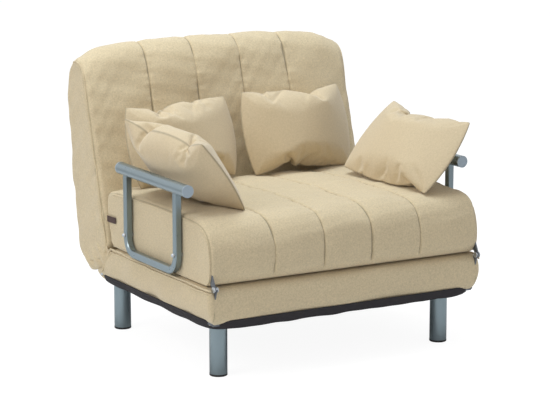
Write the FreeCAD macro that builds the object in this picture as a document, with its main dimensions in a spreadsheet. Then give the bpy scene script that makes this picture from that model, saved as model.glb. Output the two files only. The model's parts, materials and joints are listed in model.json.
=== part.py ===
"""Convertible chair bed: a seat section that folds forward, a backrest that reclines on ratchets, and pillows.

Frame: +X to the viewer's right, the sitter faces -Y, +Z up, origin on the floor under the middle. Millimetres.
"""
import FreeCAD
import Part
import Sketcher
import math
import os

from FreeCAD import Placement, Rotation, Vector

doc = FreeCAD.newDocument("ChairBed")

DIMENSIONS = [
    ("half_width", 440, "half the width of the fabric of the base and of the seat"),
    ("back_half_width", 449.5, "half the width of the backrest"),
    ("hinge_y", -445, "front hinge axis, from the middle of the object"),
    ("hinge_z", 270, "front hinge axis, height above the floor"),
    ("fold_gap", 0.3, "gap on each side of the folding plane"),
    ("crease_y", 177.6, "inner corner where the seat surface meets the backrest"),
    ("crease_z", 269.7, "height of that corner"),
    ("lean", 15.96, "lean of the backrest, degrees"),
    ("tube", 25, "square frame tube"),
    ("tube_wall", 1.5, "wall of the frame tubes"),
    ("base_frame_z", 165, "underside of the base frame"),
    ("seat_frame_z", 322, "underside of the seat frame"),
    ("back_frame_w", 79, "depth of the back frame behind the backrest's face"),
    ("frame_half", 425, "half the width of the base frame"),
    ("frame_front_y", -425, "front end of the side rails"),
    ("base_frame_rear_y", 265, "rear end of the base side rails"),
    ("seat_frame_rear_y", 165, "rear end of the seat side rails"),
    ("back_frame_low_u", 2, "lower end of the back side rails, along the backrest"),
    ("back_frame_top_u", 545, "upper end of the back side rails, along the backrest"),
    ("plate", 4, "thickness of the hinge plates"),
    ("plate_gap", 0.3, "gap between two hinge plates"),
    ("pin_radius", 5, "hinge pins"),
    ("pin_clearance", 0.05, "radial clearance of a pin in the turning plate"),
    ("pin_head_radius", 8, "rivet heads of the hinge pins"),
    ("pin_head", 2.2, "height of those heads"),
    ("ease", 0.3, "clearance of foam round metal"),
    ("slat", 8, "thickness of the slats"),
    ("slat_width", 53, "width of the slats"),
    ("leg_radius", 25, "legs"),
    ("leg_wall", 2, "wall of the legs"),
    ("leg_x", 366, "legs, from the middle"),
    ("leg_front_y", -345, "front legs"),
    ("leg_rear_y", 252, "rear legs"),
    ("leg_plate", 3, "plates that carry the legs"),
    ("leg_cap", 4, "disc that closes a leg's top"),
    ("foot", 6, "height of the plastic foot below a leg"),
    ("foot_plug", 20, "length of the plug inside the leg"),
    ("base_low_z", 168, "lower edge of the base cover"),
    ("base_front_y", -437, "front edges of the base mattress"),
    ("base_front_radius", 440, "bulge of the base's front face"),
    ("base_border_z", 192.5, "top of the low border behind the base mattress"),
    ("base_rear_y", 275, "rear face of the low border"),
    ("base_slope_top_y", 170, "rear end of the base's top face"),
    ("base_slope_low_y", 228, "foot of the base's sloping rear face"),
    ("cavity_half", 436, "half the width of the hollows that hold the frames"),
    ("border_thick", 9.5, "thickness of the low border"),
    ("tray_low_z", 145, "lowest face of the black dust cover"),
    ("tray_wall", 2, "wall of the dust cover"),
    ("tray_half", 438, "half the width of the dust cover"),
    ("tray_front_y", -439, "front of the dust cover"),
    ("tray_rear_y", 283, "rear of the dust cover"),
    ("tray_corner", 24, "plan radius of its corners"),
    ("tray_slope", 12, "slope of its lower edge"),
    ("seat_front_y", -428, "lower front edge of the seat section"),
    ("seat_nose_y", -434, "front face where the rounded nose starts"),
    ("seat_nose_z", 385, "height where the rounded nose starts"),
    ("seat_top_y", -360, "rear end of the rounded nose"),
    ("seat_top_z", 444, "height of the seat at the nose"),
    ("seat_rear_top_y", 207, "upper rear edge of the seat section"),
    ("seat_rear_top_z", 435, "height of that edge"),
    ("seat_rear_low_y", 174, "lower rear edge of the seat section"),
    ("seat_front_radius", 144, "bulge of the seat's front face"),
    ("seat_nose_radius", 94, "rounded nose"),
    ("seat_crown_radius", 3660, "crown of the seat's top"),
    ("seam_near", 78, "inner sewn channels, from the middle"),
    ("seam_far", 238, "outer sewn channels, from the middle"),
    ("seam_depth", 7, "depth of the sewn channels"),
    ("seat_side_pad", 439.5, "side faces of the seat section"),
    ("arm_x", 451, "armrests, from the middle"),
    ("arm_tube", 20, "square tube of the armrest loops"),
    ("arm_tube_round", 2.5, "how far that tube's edges are broken"),
    ("arm_wall", 1.5, "wall of that tube"),
    ("arm_front_y", -268, "front stem of a loop"),
    ("arm_rear_y", 36, "rear stem of a loop"),
    ("arm_low_z", 284.75, "middle of a loop's bottom run"),
    ("arm_bend", 45, "bend radius of a loop, on the tube's middle"),
    ("bar_radius", 17.5, "armrest bars"),
    ("bar_wall", 1.5, "wall of the bars"),
    ("bar_z", 522.5, "height of the bars"),
    ("bar_front_y", -334, "front end of the bars with their caps"),
    ("bar_rear_y", 79, "rear end of the bars with their caps"),
    ("cap", 3, "thickness of the end caps"),
    ("cap_plug", 12, "length of the caps' plugs"),
    ("bolt_radius", 4, "armrest bolts"),
    ("bolt_hole", 4.2, "holes for them"),
    ("bolt_z", 334.5, "height of the bolts"),
    ("bolt_head_radius", 6, "their domed heads"),
    ("bolt_head", 8, "height of those heads"),
    ("spacer_radius", 7, "spacer sleeves round the bolts"),
    ("nut_radius", 7.5, "nuts, across the corners"),
    ("nut", 6.5, "height of the nuts"),
    ("tab_front_y", 136, "front edge of the fabric tab"),
    ("tab_rear_y", 192, "rear edge of the fabric tab"),
    ("tab_low_z", 346, "lower edge of the fabric tab"),
    ("tab_top_z", 364, "upper edge of the fabric tab"),
    ("tab", 1, "thickness of the fabric tab"),
    ("back_front_top", 531, "front face of the backrest ends here, along the lean"),
    ("back_top", 618, "top of the backrest beside the middle panel"),
    ("back_top_w", 50, "depth of the top line"),
    ("back_rear_top", 583, "upper rear edge, along the lean"),
    ("back_rear_top_w", 118, "depth of the upper rear edge"),
    ("back_rear_low", 8, "lower rear corner, along the lean"),
    ("back_rear_low_w", 198, "depth of the lower rear corner"),
    ("back_floor", -28, "underside of the backrest, along the lean"),
    ("back_floor_w", 156, "depth where the underside ends"),
    ("back_mitre_w", 37, "depth where the mitre meets the underside"),
    ("back_top_radius", 80, "rounded front of the top"),
    ("back_cap_radius", 76, "rounded rear of the top"),
    ("back_rear_radius", 3210, "bulge of the rear face"),
    ("recess_half", 385, "half the width of the recess in the rear"),
    ("recess_top", 525, "top of that recess, along the lean"),
    ("panel", 2, "thickness of the black rear panel"),
    ("pivot_u", -69.1, "recline pivot, along the lean from the crease"),
    ("pivot_w", 91.7, "recline pivot, depth from the crease"),
    ("recline", 74.04, "recline from upright to flat, degrees"),
    ("ratchet_steps", 6, "steps of the ratchet"),
    ("ratchet_radius", 30, "tips of the ratchet teeth"),
    ("ratchet_depth", 4.5, "depth of the ratchet teeth"),
    ("ratchet_hub", 16, "hub of the ratchet sector"),
    ("strap_length", 126, "strap of the ratchet sector"),
    ("strap_half", 12, "half the width of that strap"),
    ("arm_plate_half", 9.5, "half the width of the turning ratchet arm"),
    ("arm_plate_end", 200, "length of the turning ratchet arm"),
    ("pawl_pivot", 50, "pawl pin, from the recline pivot"),
    ("pawl_half", 6.5, "half the width of the pawl"),
    ("pawl_gap", 0.2, "play of the pawl in its notch"),
    ("leg_u", 469.5, "pivot of the folding rear leg, along the lean"),
    ("leg_clear", 0.8, "clearances between the frame, the rear panel and the stowed leg's sleeves"),
    ("fold_leg_radius", 12.5, "tube of the folding rear leg"),
    ("fold_leg_wall", 1.5, "wall of that tube"),
    ("fold_leg_bore", 40, "depth to which its open ends are modelled hollow"),
    ("fold_leg_half", 250, "half the width of the folding rear leg"),
    ("fold_leg_bend", 50, "bend radius of the folding rear leg"),
    ("fold_leg_end", 7.5, "how far its ends reach past the pivot"),
    ("fold_leg_over", 7.8, "angle past the upright when it stands, degrees"),
    ("ear", 3, "thickness of the leg's ears"),
    ("ear_half", 13, "half the width of the ears"),
    ("fold_pin_radius", 4, "pins of the folding rear leg"),
    ("sleeve", 2, "thickness of its rubber sleeves"),
    ("sleeve_length", 60, "length of those sleeves"),
    ("pillow_edge", 5, "thickness of a pillow at its seam"),
    ("pillow_thick", 136, "thickness of a pillow in the middle"),
    ("pillow_flank", 0.6, "where a pillow's crown begins, as a share of its half width"),
    ("pillow_rise", 0.66, "thickness there, as a share of the middle's"),
]

sheet = doc.addObject("Spreadsheet::Sheet", "dims")
for row, (alias, number, meaning) in enumerate(DIMENSIONS, start=1):
    sheet.set(f"A{row}", alias)
    sheet.set(f"B{row}", str(number))
    sheet.set(f"C{row}", meaning)
    sheet.setAlias(f"B{row}", alias)
doc.recompute()

# Places that several pieces share, as expressions on the sheet.
PIVOT_Y = "(dims.crease_y + dims.pivot_w * cos(dims.lean) + dims.pivot_u * sin(dims.lean))"
PIVOT_Z = "(dims.crease_z + dims.pivot_u * cos(dims.lean) - dims.pivot_w * sin(dims.lean))"
MOVING_HALF = "(dims.frame_half + dims.plate + dims.plate_gap)"
MOVING_OUT = "(dims.frame_half + 2 * dims.plate + dims.plate_gap)"
LEG_TOP = "(dims.base_frame_z - dims.leg_plate)"
BASE_CAVITY = "(dims.base_frame_z + dims.tube + dims.ease)"
SEAT_CAVITY = "(dims.seat_frame_z + dims.tube + dims.ease)"
SIDES = {"left": -1, "right": 1}

nodes = []


def value(expression):
    """The number that an expression on the sheet stands for."""
    result = sheet.evalExpression(str(expression).replace("dims.", ""))
    return float(getattr(result, "Value", result))


def degrees(expression):
    """An expression on the sheet, given the unit that the angle functions need."""
    return expression.replace("dims.lean", "dims.lean * 1deg")


PIVOT_Y = degrees(PIVOT_Y)
PIVOT_Z = degrees(PIVOT_Z)


def node(thing, label):
    """Names a finished sub-part and keeps it for the export."""
    thing.Label = label
    nodes.append(thing)
    return thing


def bind(thing, **sizes):
    """Ties properties to expressions; a double underscore stands for a dot."""
    for name, expression in sizes.items():
        thing.setExpression(name.replace("__", "."), str(expression))


def new_body(label):
    return doc.addObject("PartDesign::Body", label)


def plane(body, role):
    return next(f for f in body.Origin.OriginFeatures if f.Role == role)


def new_sketch(body, role, offset="0"):
    """A sketch on one of the body's own planes, moved along its normal."""
    sketch = body.newObject("Sketcher::SketchObject", "Sketch")
    sketch.AttachmentSupport = (plane(body, role), [""])
    sketch.MapMode = "FlatFace"
    sketch.setExpression("AttachmentOffset.Base.z", str(offset))
    return sketch


def pin_point(sketch, geometry, end, x, y, constraints, ties):
    """Two distances from the sketch's origin place a point; the ties bind them."""
    for kind, expression in (("DistanceX", x), ("DistanceY", y)):
        ties[len(constraints)] = expression
        constraints.append(Sketcher.Constraint(kind, -1, 1, geometry, end, value(expression)))


def outline(sketch, corners, bulges=None):
    """Draws a closed outline. bulges gives an edge its radius, and 1 or -1 for left or right of the way round."""
    bulges = bulges or {}
    points = [Vector(value(x), value(y), 0) for x, y in corners]
    first = sketch.GeometryCount
    constraints, ties, ends = [], {}, []
    for i, start in enumerate(points):
        finish = points[(i + 1) % len(points)]
        if i in bulges:
            radius, side = bulges[i]
            half = (finish - start) * 0.5
            rise = value(radius) - math.sqrt(value(radius) ** 2 - half.Length ** 2)
            left = Vector(-half.y, half.x, 0).normalize()
            sketch.addGeometry(Part.Arc(start, start + half + left * rise * side, finish))
            ends.append((2, 1) if side > 0 else (1, 2))
        else:
            sketch.addGeometry(Part.LineSegment(start, finish))
            ends.append((1, 2))
    for i, (x, y) in enumerate(corners):
        following = (i + 1) % len(points)
        constraints.append(Sketcher.Constraint(
            "Coincident", first + i, ends[i][1], first + following, ends[following][0]))
        pin_point(sketch, first + i, ends[i][0], x, y, constraints, ties)
        if i in bulges:
            ties[len(constraints)] = bulges[i][0]
            constraints.append(Sketcher.Constraint("Radius", first + i, value(bulges[i][0])))
    add_constraints(sketch, constraints, ties)
    return sketch


def add_constraints(sketch, constraints, ties):
    before = sketch.ConstraintCount
    sketch.addConstraint(constraints)
    for number, expression in ties.items():
        sketch.setExpression(f"Constraints[{before + number}]", str(expression))


def circle(sketch, x, y, radius):
    """A circle whose middle and radius are bound."""
    middle = Vector(value(x), value(y), 0)
    number = sketch.addGeometry(Part.Circle(middle, Vector(0, 0, 1), value(radius)))
    constraints, ties = [], {}
    pin_point(sketch, number, 3, x, y, constraints, ties)
    ties[len(constraints)] = radius
    constraints.append(Sketcher.Constraint("Radius", number, value(radius)))
    add_constraints(sketch, constraints, ties)
    return sketch


def rectangle(sketch, x0, y0, x1, y1):
    return outline(sketch, [(x0, y0), (x1, y0), (x1, y1), (x0, y1)])


def feature(body, kind, sketch, **sizes):
    """Adds a sketch-based feature; expressions are bound and other values set."""
    item = body.newObject("PartDesign::" + kind, kind)
    item.Profile = sketch
    for name, size in sizes.items():
        if isinstance(size, str):
            item.setExpression(name, size)
        else:
            setattr(item, name, size)
    sketch.Visibility = False
    body.Tip = item
    return item


def pad(body, sketch, length):
    return feature(body, "Pad", sketch, Length=length)


def pocket(body, sketch, length):
    """Cuts against the sketch's normal."""
    return feature(body, "Pocket", sketch, Length=length)


def loft(body, sketches, ruled=False):
    item = body.newObject("PartDesign::AdditiveLoft", "Loft")
    item.Profile = sketches[0]
    item.Sections = sketches[1:]
    item.Ruled = ruled
    body.Tip = item
    return item


def pipe(body, kind, section, spine):
    item = body.newObject("PartDesign::" + kind, kind)
    item.Profile = section
    item.Spine = spine
    body.Tip = item
    return item


def place(thing, x="0", y="0", z="0", lean=None):
    """Puts a finished piece at its place; lean turns it back about the X axis."""
    if lean:
        thing.Placement = Placement(Vector(), Rotation(Vector(1, 0, 0), -1))
        thing.setExpression("Placement.Rotation.Angle", f"-{lean} * 1deg")
    bind(thing, Placement__Base__x=x, Placement__Base__y=y, Placement__Base__z=z)
    return thing


def lean_back(thing):
    """Turns a piece drawn as x, depth and height into the leaning backrest's frame."""
    return place(thing, y="dims.crease_y", z="dims.crease_z", lean="dims.lean")


def box(x0, y0, z0, x1, y1, z1):
    """A box between two corners."""
    item = doc.addObject("Part::Box", "Box")
    bind(item, Length=f"({x1}) - ({x0})", Width=f"({y1}) - ({y0})", Height=f"({z1}) - ({z0})")
    bind(item, Placement__Base__x=x0, Placement__Base__y=y0, Placement__Base__z=z0)
    return item


def cylinder(x, y, z, radius, length, along="x"):
    """A cylinder that starts at a point and runs along one axis."""
    item = doc.addObject("Part::Cylinder", "Cylinder")
    turn = {"x": Rotation(Vector(0, 1, 0), 90), "y": Rotation(Vector(1, 0, 0), -90), "z": Rotation()}
    item.Placement = Placement(Vector(), turn[along])
    bind(item, Radius=radius, Height=length)
    bind(item, Placement__Base__x=x, Placement__Base__y=y, Placement__Base__z=z)
    return item


def cut(base, tool):
    item = doc.addObject("Part::Cut", "Cut")
    item.Base = base
    item.Tool = tool
    return item


def fuse(*shapes):
    item = doc.addObject("Part::MultiFuse", "Fusion")
    item.Shapes = list(shapes)
    return item


def common(*shapes):
    item = doc.addObject("Part::MultiCommon", "Common")
    item.Shapes = list(shapes)
    return item


def group(*shapes):
    item = doc.addObject("Part::Compound", "Group")
    item.Links = list(shapes)
    return item


def rail(along, x0, y0, z0, x1, y1, z1):
    """A square tube, open at both ends, that fills the box between two corners."""
    wall = "dims.tube_wall"
    low = {"x": x0, "y": y0, "z": z0}
    high = {"x": x1, "y": y1, "z": z1}
    inner_low = {k: v if k == along else f"({v}) + {wall}" for k, v in low.items()}
    inner_high = {k: v if k == along else f"({v}) - {wall}" for k, v in high.items()}
    return cut(box(*low.values(), *high.values()), box(*inner_low.values(), *inner_high.values()))


def side_rails(half, y0, y1, z0):
    return [
        rail("y", f"-({half})", y0, z0, f"-({half}) + dims.tube", y1, f"({z0}) + dims.tube"),
        rail("y", f"({half}) - dims.tube", y0, z0, half, y1, f"({z0}) + dims.tube"),
    ]


def cross_rail(half, y0, z0):
    inner = f"({half}) - dims.tube"
    return rail("x", f"-({inner})", y0, z0, inner, f"({y0}) + dims.tube", f"({z0}) + dims.tube")


def slats(half, starts, z0):
    """Slats across a frame, in the middle of its height."""
    inner = f"({half}) - dims.tube"
    low = f"({z0}) + (dims.tube - dims.slat) / 2"
    return [box(f"-({inner})", y, low, inner, f"({y}) + dims.slat_width", f"({low}) + dims.slat")
            for y in starts]


def ring(x, y, z, outer, inner, length, along):
    return cut(cylinder(x, y, z, outer, length, along), cylinder(x, y, z, inner, length, along))


# Base frame: two side rails, three cross rails and four slats.

BASE_CROSS = ["dims.frame_front_y + 5", "-60", "205"]
BASE_SLATS = ["-350", "-220", "10", "110"]


def base_frame():
    rails = side_rails("dims.frame_half", "dims.frame_front_y", "dims.base_frame_rear_y", "dims.base_frame_z")
    rails += [cross_rail("dims.frame_half", y, "dims.base_frame_z") for y in BASE_CROSS]
    node(group(*rails), "base_frame")
    node(group(*slats("dims.frame_half", BASE_SLATS, "dims.base_frame_z")), "base_slats")


# Legs: a plate under each corner of the frame, a closed tube, its bolt and its foot.

LEGS = {
    "front_left": (-1, "dims.leg_front_y"),
    "front_right": (1, "dims.leg_front_y"),
    "rear_left": (-1, "dims.leg_rear_y"),
    "rear_right": (1, "dims.leg_rear_y"),
}


def leg(name, side, y):
    body = new_body(name + "_leg")
    profile = new_sketch(body, "XZ_Plane")
    outer, inner, top = "dims.leg_radius", "dims.leg_radius - dims.leg_wall", LEG_TOP
    outline(profile, [
        (inner, "dims.foot"), (outer, "dims.foot"), (outer, top), ("dims.bolt_hole", top),
        ("dims.bolt_hole", f"{top} - dims.leg_cap"), (inner, f"{top} - dims.leg_cap")])
    revolve(body, profile)
    node(place(body, f"{side} * dims.leg_x", y), name + "_leg")


def revolve(body, profile):
    item = feature(body, "Revolution", profile, Angle=360.0)
    item.ReferenceAxis = (profile, ["V_Axis"])
    return item


def feet():
    """A plastic foot with a plug in the end of each leg."""
    made = []
    plug = "dims.leg_radius - dims.leg_wall - 0.1"
    top = "dims.foot + dims.foot_plug"
    for side, y in LEGS.values():
        body = new_body("foot")
        profile = new_sketch(body, "XZ_Plane")
        outline(profile, [
            ("0", "0"), ("dims.leg_radius - 1", "0"), ("dims.leg_radius + 0.3", "1.3"),
            ("dims.leg_radius + 0.3", "dims.foot"), (plug, "dims.foot"), (plug, top), ("0", top)])
        revolve(body, profile)
        made.append(place(body, f"{side} * dims.leg_x", y))
    node(group(*made), "leg_feet")


def leg_hardware():
    plates, bolts = [], []
    for side, y in LEGS.values():
        near, far = (f"{side} * {x}" for x in ("330", "dims.frame_half"))
        low, high = (near, far) if side > 0 else (far, near)
        plate_front = "dims.frame_front_y" if "front" in y else "200"
        plate_rear = "-315" if "front" in y else "276"
        blank = box(low, plate_front, LEG_TOP, high, plate_rear, "dims.base_frame_z")
        x = f"{side} * dims.leg_x"
        plates.append(cut(blank, cylinder(x, y, LEG_TOP, "dims.bolt_hole", "dims.leg_plate", "z")))
        shank = cylinder(x, y, f"{LEG_TOP} - 18", "dims.bolt_radius", "18 + dims.leg_plate", "z")
        head = cylinder(x, y, "dims.base_frame_z", "dims.nut_radius", "5.5", "z")
        bolts.append(fuse(shank, head))
    node(group(*plates), "leg_plates")
    node(group(*bolts), "leg_bolts")


# Dust cover: a shallow black tray under the base, with a hole for each leg.


def rounded(sketch, half, y0, y1, corner):
    """A rectangle with round corners, on the XY plane."""
    c = corner
    return outline(sketch, [
        (f"-({half}) + {c}", y0), (f"{half} - {c}", y0), (half, f"{y0} + {c}"), (half, f"{y1} - {c}"),
        (f"{half} - {c}", y1), (f"-({half}) + {c}", y1), (f"-({half})", f"{y1} - {c}"),
        (f"-({half})", f"{y0} + {c}")],
        {1: (c, -1), 3: (c, -1), 5: (c, -1), 7: (c, -1)})


def tray_section(body, z, inset):
    sketch = new_sketch(body, "XY_Plane", z)
    return rounded(sketch, f"dims.tray_half - {inset}", f"dims.tray_front_y + {inset}",
                   f"dims.tray_rear_y - {inset}", "dims.tray_corner")


def dust_cover():
    body = new_body("dust_cover")
    bend = "dims.tray_low_z + dims.tray_slope"
    loft(body, [tray_section(body, "dims.tray_low_z", "dims.tray_slope"), tray_section(body, bend, "0"),
                tray_section(body, "dims.base_low_z", "0")], ruled=True)
    hollow = body.newObject("PartDesign::SubtractiveLoft", "Hollow")
    sections = [tray_section(body, "dims.tray_low_z + dims.tray_wall", "dims.tray_slope + 1"),
                tray_section(body, f"{bend} + 1", "dims.tray_wall"),
                tray_section(body, "dims.base_low_z", "dims.tray_wall")]
    hollow.Profile = sections[0]
    hollow.Sections = sections[1:]
    hollow.Ruled = True
    body.Tip = hollow
    holes = new_sketch(body, "XY_Plane", "dims.base_low_z")
    for side, y in LEGS.values():
        circle(holes, f"{side} * dims.leg_x", y, "dims.leg_radius + 0.8")
    pocket(body, holes, "dims.base_low_z - dims.tray_low_z + 1")
    node(body, "dust_cover")


# Base mattress: bulged front, sloping rear face that leaves room for the recline, and a low border.


def base_profile(body, x, inset):
    """Side view of the base mattress at a station across it."""
    sketch = new_sketch(body, "YZ_Plane", x)
    top = f"dims.hinge_z - dims.fold_gap - {inset}"
    return outline(sketch, [
        (f"dims.base_front_y + {inset}", "dims.base_low_z"),
        (f"dims.base_front_y + {inset}", top),
        (f"dims.base_slope_top_y - {inset} / 2", top),
        ("dims.base_slope_low_y", "dims.base_border_z"),
        ("dims.base_rear_y", "dims.base_border_z"),
        ("dims.base_rear_y", "dims.base_low_z")],
        {0: ("dims.base_front_radius - dims.base_front_radius / 2", 1)})


EDGE_STATIONS = [("0", "7"), ("1.5", "3.5"), ("4", "1"), ("9", "0")]


def base_mattress():
    body = new_body("base_mattress")
    left = [base_profile(body, f"-dims.half_width + {dx}", inset) for dx, inset in EDGE_STATIONS]
    right = [base_profile(body, f"dims.half_width - {dx}", inset) for dx, inset in EDGE_STATIONS]
    loft(body, left + right[::-1], ruled=True)
    cavity = new_sketch(body, "XY_Plane", BASE_CAVITY)
    rectangle(cavity, "-dims.cavity_half", "dims.frame_front_y - dims.ease",
              "dims.cavity_half", "dims.base_rear_y - dims.border_thick")
    pocket(body, cavity, "40")
    for side in SIDES.values():
        ratchet_slot = new_sketch(body, "YZ_Plane", slot_start(side))
        rectangle(ratchet_slot, "205", "160", "290", "240")
        pocket(body, ratchet_slot, "dims.cavity_half - dims.frame_half + 1")
        hinge_slot(body, side, "160", "dims.hinge_z + 30")
    node(body, "base_mattress")


def slot_start(side):
    """The outer side of a slot beside the frame, because a pocket cuts towards -X."""
    return "dims.cavity_half" if side > 0 else "-dims.frame_half + 1"


def hinge_slot(body, side, z0, z1):
    """Room for the front hinge plates and their pin."""
    slot = new_sketch(body, "YZ_Plane", slot_start(side))
    rectangle(slot, "dims.hinge_y - 20", z0, "dims.frame_front_y + 90", z1)
    pocket(body, slot, "dims.cavity_half - dims.frame_half + 1")
    knuckle = new_sketch(body, "YZ_Plane", "dims.half_width + 20" if side > 0 else "-dims.frame_half + 6")
    circle(knuckle, "dims.hinge_y", "dims.hinge_z", "dims.pin_head_radius + 1.5")
    pocket(body, knuckle, "dims.half_width - dims.frame_half + 26")


# Front hinges: a dog-leg plate on each frame, and the pins that join them.


def hinge_plate(label, x, side, up):
    """up is 1 for the seat's plate and -1 for the base's, which is its mirror image."""
    body = new_body(label)
    sketch = new_sketch(body, "YZ_Plane", x if side > 0 else f"-({x}) - dims.plate")
    frame_near = "dims.seat_frame_z - dims.hinge_z" if up > 0 else "dims.hinge_z - dims.base_frame_z - dims.tube"
    near = f"{up} * ({frame_near})"
    far = f"{up} * ({frame_near} + dims.tube)"
    knuckle = "dims.pin_head_radius"
    outline(sketch, [
        (f"-{knuckle}", "0"), (f"-{knuckle} * 0.3", f"{up} * {knuckle}"), ("20", near), ("20", far),
        ("110", far), ("110", near), ("60", near), (knuckle, "0"), ("0", f"-{up} * {knuckle}")],
        {7: (knuckle, -up), 8: (knuckle, -up)})
    pad(body, sketch, "dims.plate")
    hole = new_sketch(body, "YZ_Plane", f"({x}) + dims.plate" if side > 0 else f"-({x})")
    bore = "dims.pin_radius + dims.pin_clearance" if up > 0 else "dims.pin_radius"
    circle(hole, "0", "0", bore)
    pocket(body, hole, "dims.plate")
    node(place(body, y="dims.hinge_y", z="dims.hinge_z"), label)


def headed_pin(side, start, y, z, inner_head):
    """A pin that runs outwards from a start, with a rivet head outside and, where asked, one inside."""
    length = f"{MOVING_OUT} - ({start})"
    shank = cylinder(start if side > 0 else f"-({MOVING_OUT})", y, z, "dims.pin_radius", length)
    heads = [cylinder(MOVING_OUT if side > 0 else f"-({MOVING_OUT}) - dims.pin_head", y, z,
                      "dims.pin_head_radius", "dims.pin_head")]
    if inner_head:
        heads.append(cylinder(f"({start}) - dims.pin_head" if side > 0 else f"-({start})", y, z,
                              "dims.pin_head_radius", "dims.pin_head"))
    return fuse(shank, *heads)


def front_hinges():
    for name, side in SIDES.items():
        hinge_plate(f"base_hinge_plate_{name}", "dims.frame_half", side, -1)
        hinge_plate(f"seat_hinge_plate_{name}", MOVING_HALF, side, 1)
    pins = [headed_pin(side, "dims.frame_half", "dims.hinge_y", "dims.hinge_z", True)
            for side in SIDES.values()]
    node(group(*pins), "front_hinge_pins")


# Ratchets: a toothed sector on the base frame, and an arm with a pawl on the back frame.


def ratchet_sector(name, side):
    """Drawn round the recline pivot. The teeth run from flat to upright, in equal steps."""
    body = new_body("ratchet_sector_" + name)
    start = "dims.frame_half" if side > 0 else "-dims.frame_half - dims.plate"
    blank = new_sketch(body, "YZ_Plane", start)
    r, low, high = "dims.ratchet_radius", "-12 * 1deg", "dims.recline * 1deg + 12 * 1deg"
    hub = "dims.ratchet_hub"
    outline(blank, [
        ("-dims.strap_length", "-dims.strap_half"), ("0", "-dims.strap_half"),
        (f"{hub} * 0.8", "-dims.strap_half"),
        (f"{r} * cos({low})", f"{r} * sin({low})"), (f"{r} * cos({high})", f"{r} * sin({high})"),
        ("-10", "dims.strap_half"), ("-dims.strap_length", "dims.strap_half")],
        {3: (r, -1)})
    pad(body, blank, "dims.plate")
    face = f"({start}) + dims.plate"
    notch = new_sketch(body, "YZ_Plane", face)
    deep = f"({r} - dims.ratchet_depth)"
    outline(notch, [(deep, "-2"), (f"{r} + 1", "-2.6"), (f"{r} + 1", "3.6"), (deep, "0.4")])
    first = pocket(body, notch, "dims.plate")
    teeth = body.newObject("PartDesign::PolarPattern", "Teeth")
    teeth.Originals = [first]
    teeth.Axis = (plane(body, "X_Axis"), [""])
    bind(teeth, Angle="dims.recline * 1deg", Occurrences="dims.ratchet_steps + 1")
    body.Tip = teeth
    hole = new_sketch(body, "YZ_Plane", face)
    circle(hole, "0", "0", "dims.pin_radius")
    pocket(body, hole, "dims.plate")
    node(place(body, y=PIVOT_Y, z=PIVOT_Z), "ratchet_sector_" + name)


def ratchet_arm(name, side):
    """Drawn upright round the recline pivot, then leaned back with the backrest."""
    body = new_body("ratchet_arm_" + name)
    start = MOVING_HALF if side > 0 else f"-({MOVING_OUT})"
    blank = new_sketch(body, "YZ_Plane", start)
    half = "dims.arm_plate_half"
    outline(blank, [(f"-{half}", "0"), (half, "0"), (half, "dims.arm_plate_end"),
                    (f"-{half}", "dims.arm_plate_end")], {0: (f"{half} + 0.001", -1)})
    pad(body, blank, "dims.plate")
    holes = new_sketch(body, "YZ_Plane", f"({start}) + dims.plate")
    circle(holes, "0", "0", "dims.pin_radius + dims.pin_clearance")
    circle(holes, "0", "dims.pawl_pivot", "dims.fold_pin_radius - 1")
    pocket(body, holes, "dims.plate")
    node(place(body, y=PIVOT_Y, z=PIVOT_Z, lean="dims.lean"), "ratchet_arm_" + name)


def pawl(name, side):
    """A lever whose nose sits in the upright notch of the sector."""
    body = new_body("ratchet_pawl_" + name)
    start = "dims.frame_half + 0.1" if side > 0 else "-dims.frame_half - dims.plate - 0.1"
    blank = new_sketch(body, "YZ_Plane", start)
    play = "dims.pawl_gap"
    tip = f"(dims.ratchet_radius - dims.ratchet_depth + {play})"
    root = "dims.ratchet_radius + 1"
    half = "dims.pawl_half"
    outline(blank, [
        (f"-0.4 + {play}", tip), (f"2 - {play}", tip), (f"2.6 - {play}", root), (half, f"{root} + 3"),
        (half, "dims.pawl_pivot"), (f"-{half}", "dims.pawl_pivot"), (f"-{half}", f"{root} + 3"),
        (f"-3.6 + {play}", root)], {4: (f"{half} + 0.001", 1)})
    pad(body, blank, "dims.plate")
    hole = new_sketch(body, "YZ_Plane", f"({start}) + dims.plate")
    circle(hole, "0", "dims.pawl_pivot", "dims.fold_pin_radius - 1")
    pocket(body, hole, "dims.plate")
    node(place(body, y=PIVOT_Y, z=PIVOT_Z, lean="dims.lean"), "ratchet_pawl_" + name)


def pawl_hardware():
    """The pawls' rivets, and the leaf springs that press the pawls into the teeth."""
    rivets, springs = [], []
    for side in SIDES.values():
        inner, outer = "dims.frame_half - 1.5", f"{MOVING_OUT} + 1.5"
        x = inner if side > 0 else f"-({outer})"
        shank = cylinder(x, "0", "dims.pawl_pivot", "dims.fold_pin_radius - 1", f"({outer}) - ({inner})")
        head = cylinder(MOVING_OUT if side > 0 else f"-({outer})", "0", "dims.pawl_pivot", "5", "1.5")
        back = cylinder(inner if side > 0 else "-dims.frame_half", "0", "dims.pawl_pivot", "5", "1.5")
        rivets.append(fuse(shank, head, back))
        leaf_x = "dims.frame_half + 0.3" if side > 0 else f"-({MOVING_HALF})"
        leaf = box(leaf_x, "-dims.pawl_half - 1", "dims.ratchet_radius + 6",
                   f"({leaf_x}) + dims.plate", "-dims.pawl_half - 0.2", "dims.pawl_pivot + 8")
        foot_block = box(leaf_x, "-dims.pawl_half - 1", "dims.pawl_pivot + 8",
                         f"({leaf_x}) + dims.plate", "-dims.pawl_half + 5", "dims.pawl_pivot + 12")
        springs.append(fuse(leaf, foot_block))
    rivet_node = group(*rivets)
    spring_node = group(*springs)
    node(place(rivet_node, y=PIVOT_Y, z=PIVOT_Z, lean="dims.lean"), "pawl_rivets")
    node(place(spring_node, y=PIVOT_Y, z=PIVOT_Z, lean="dims.lean"), "pawl_springs")


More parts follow.
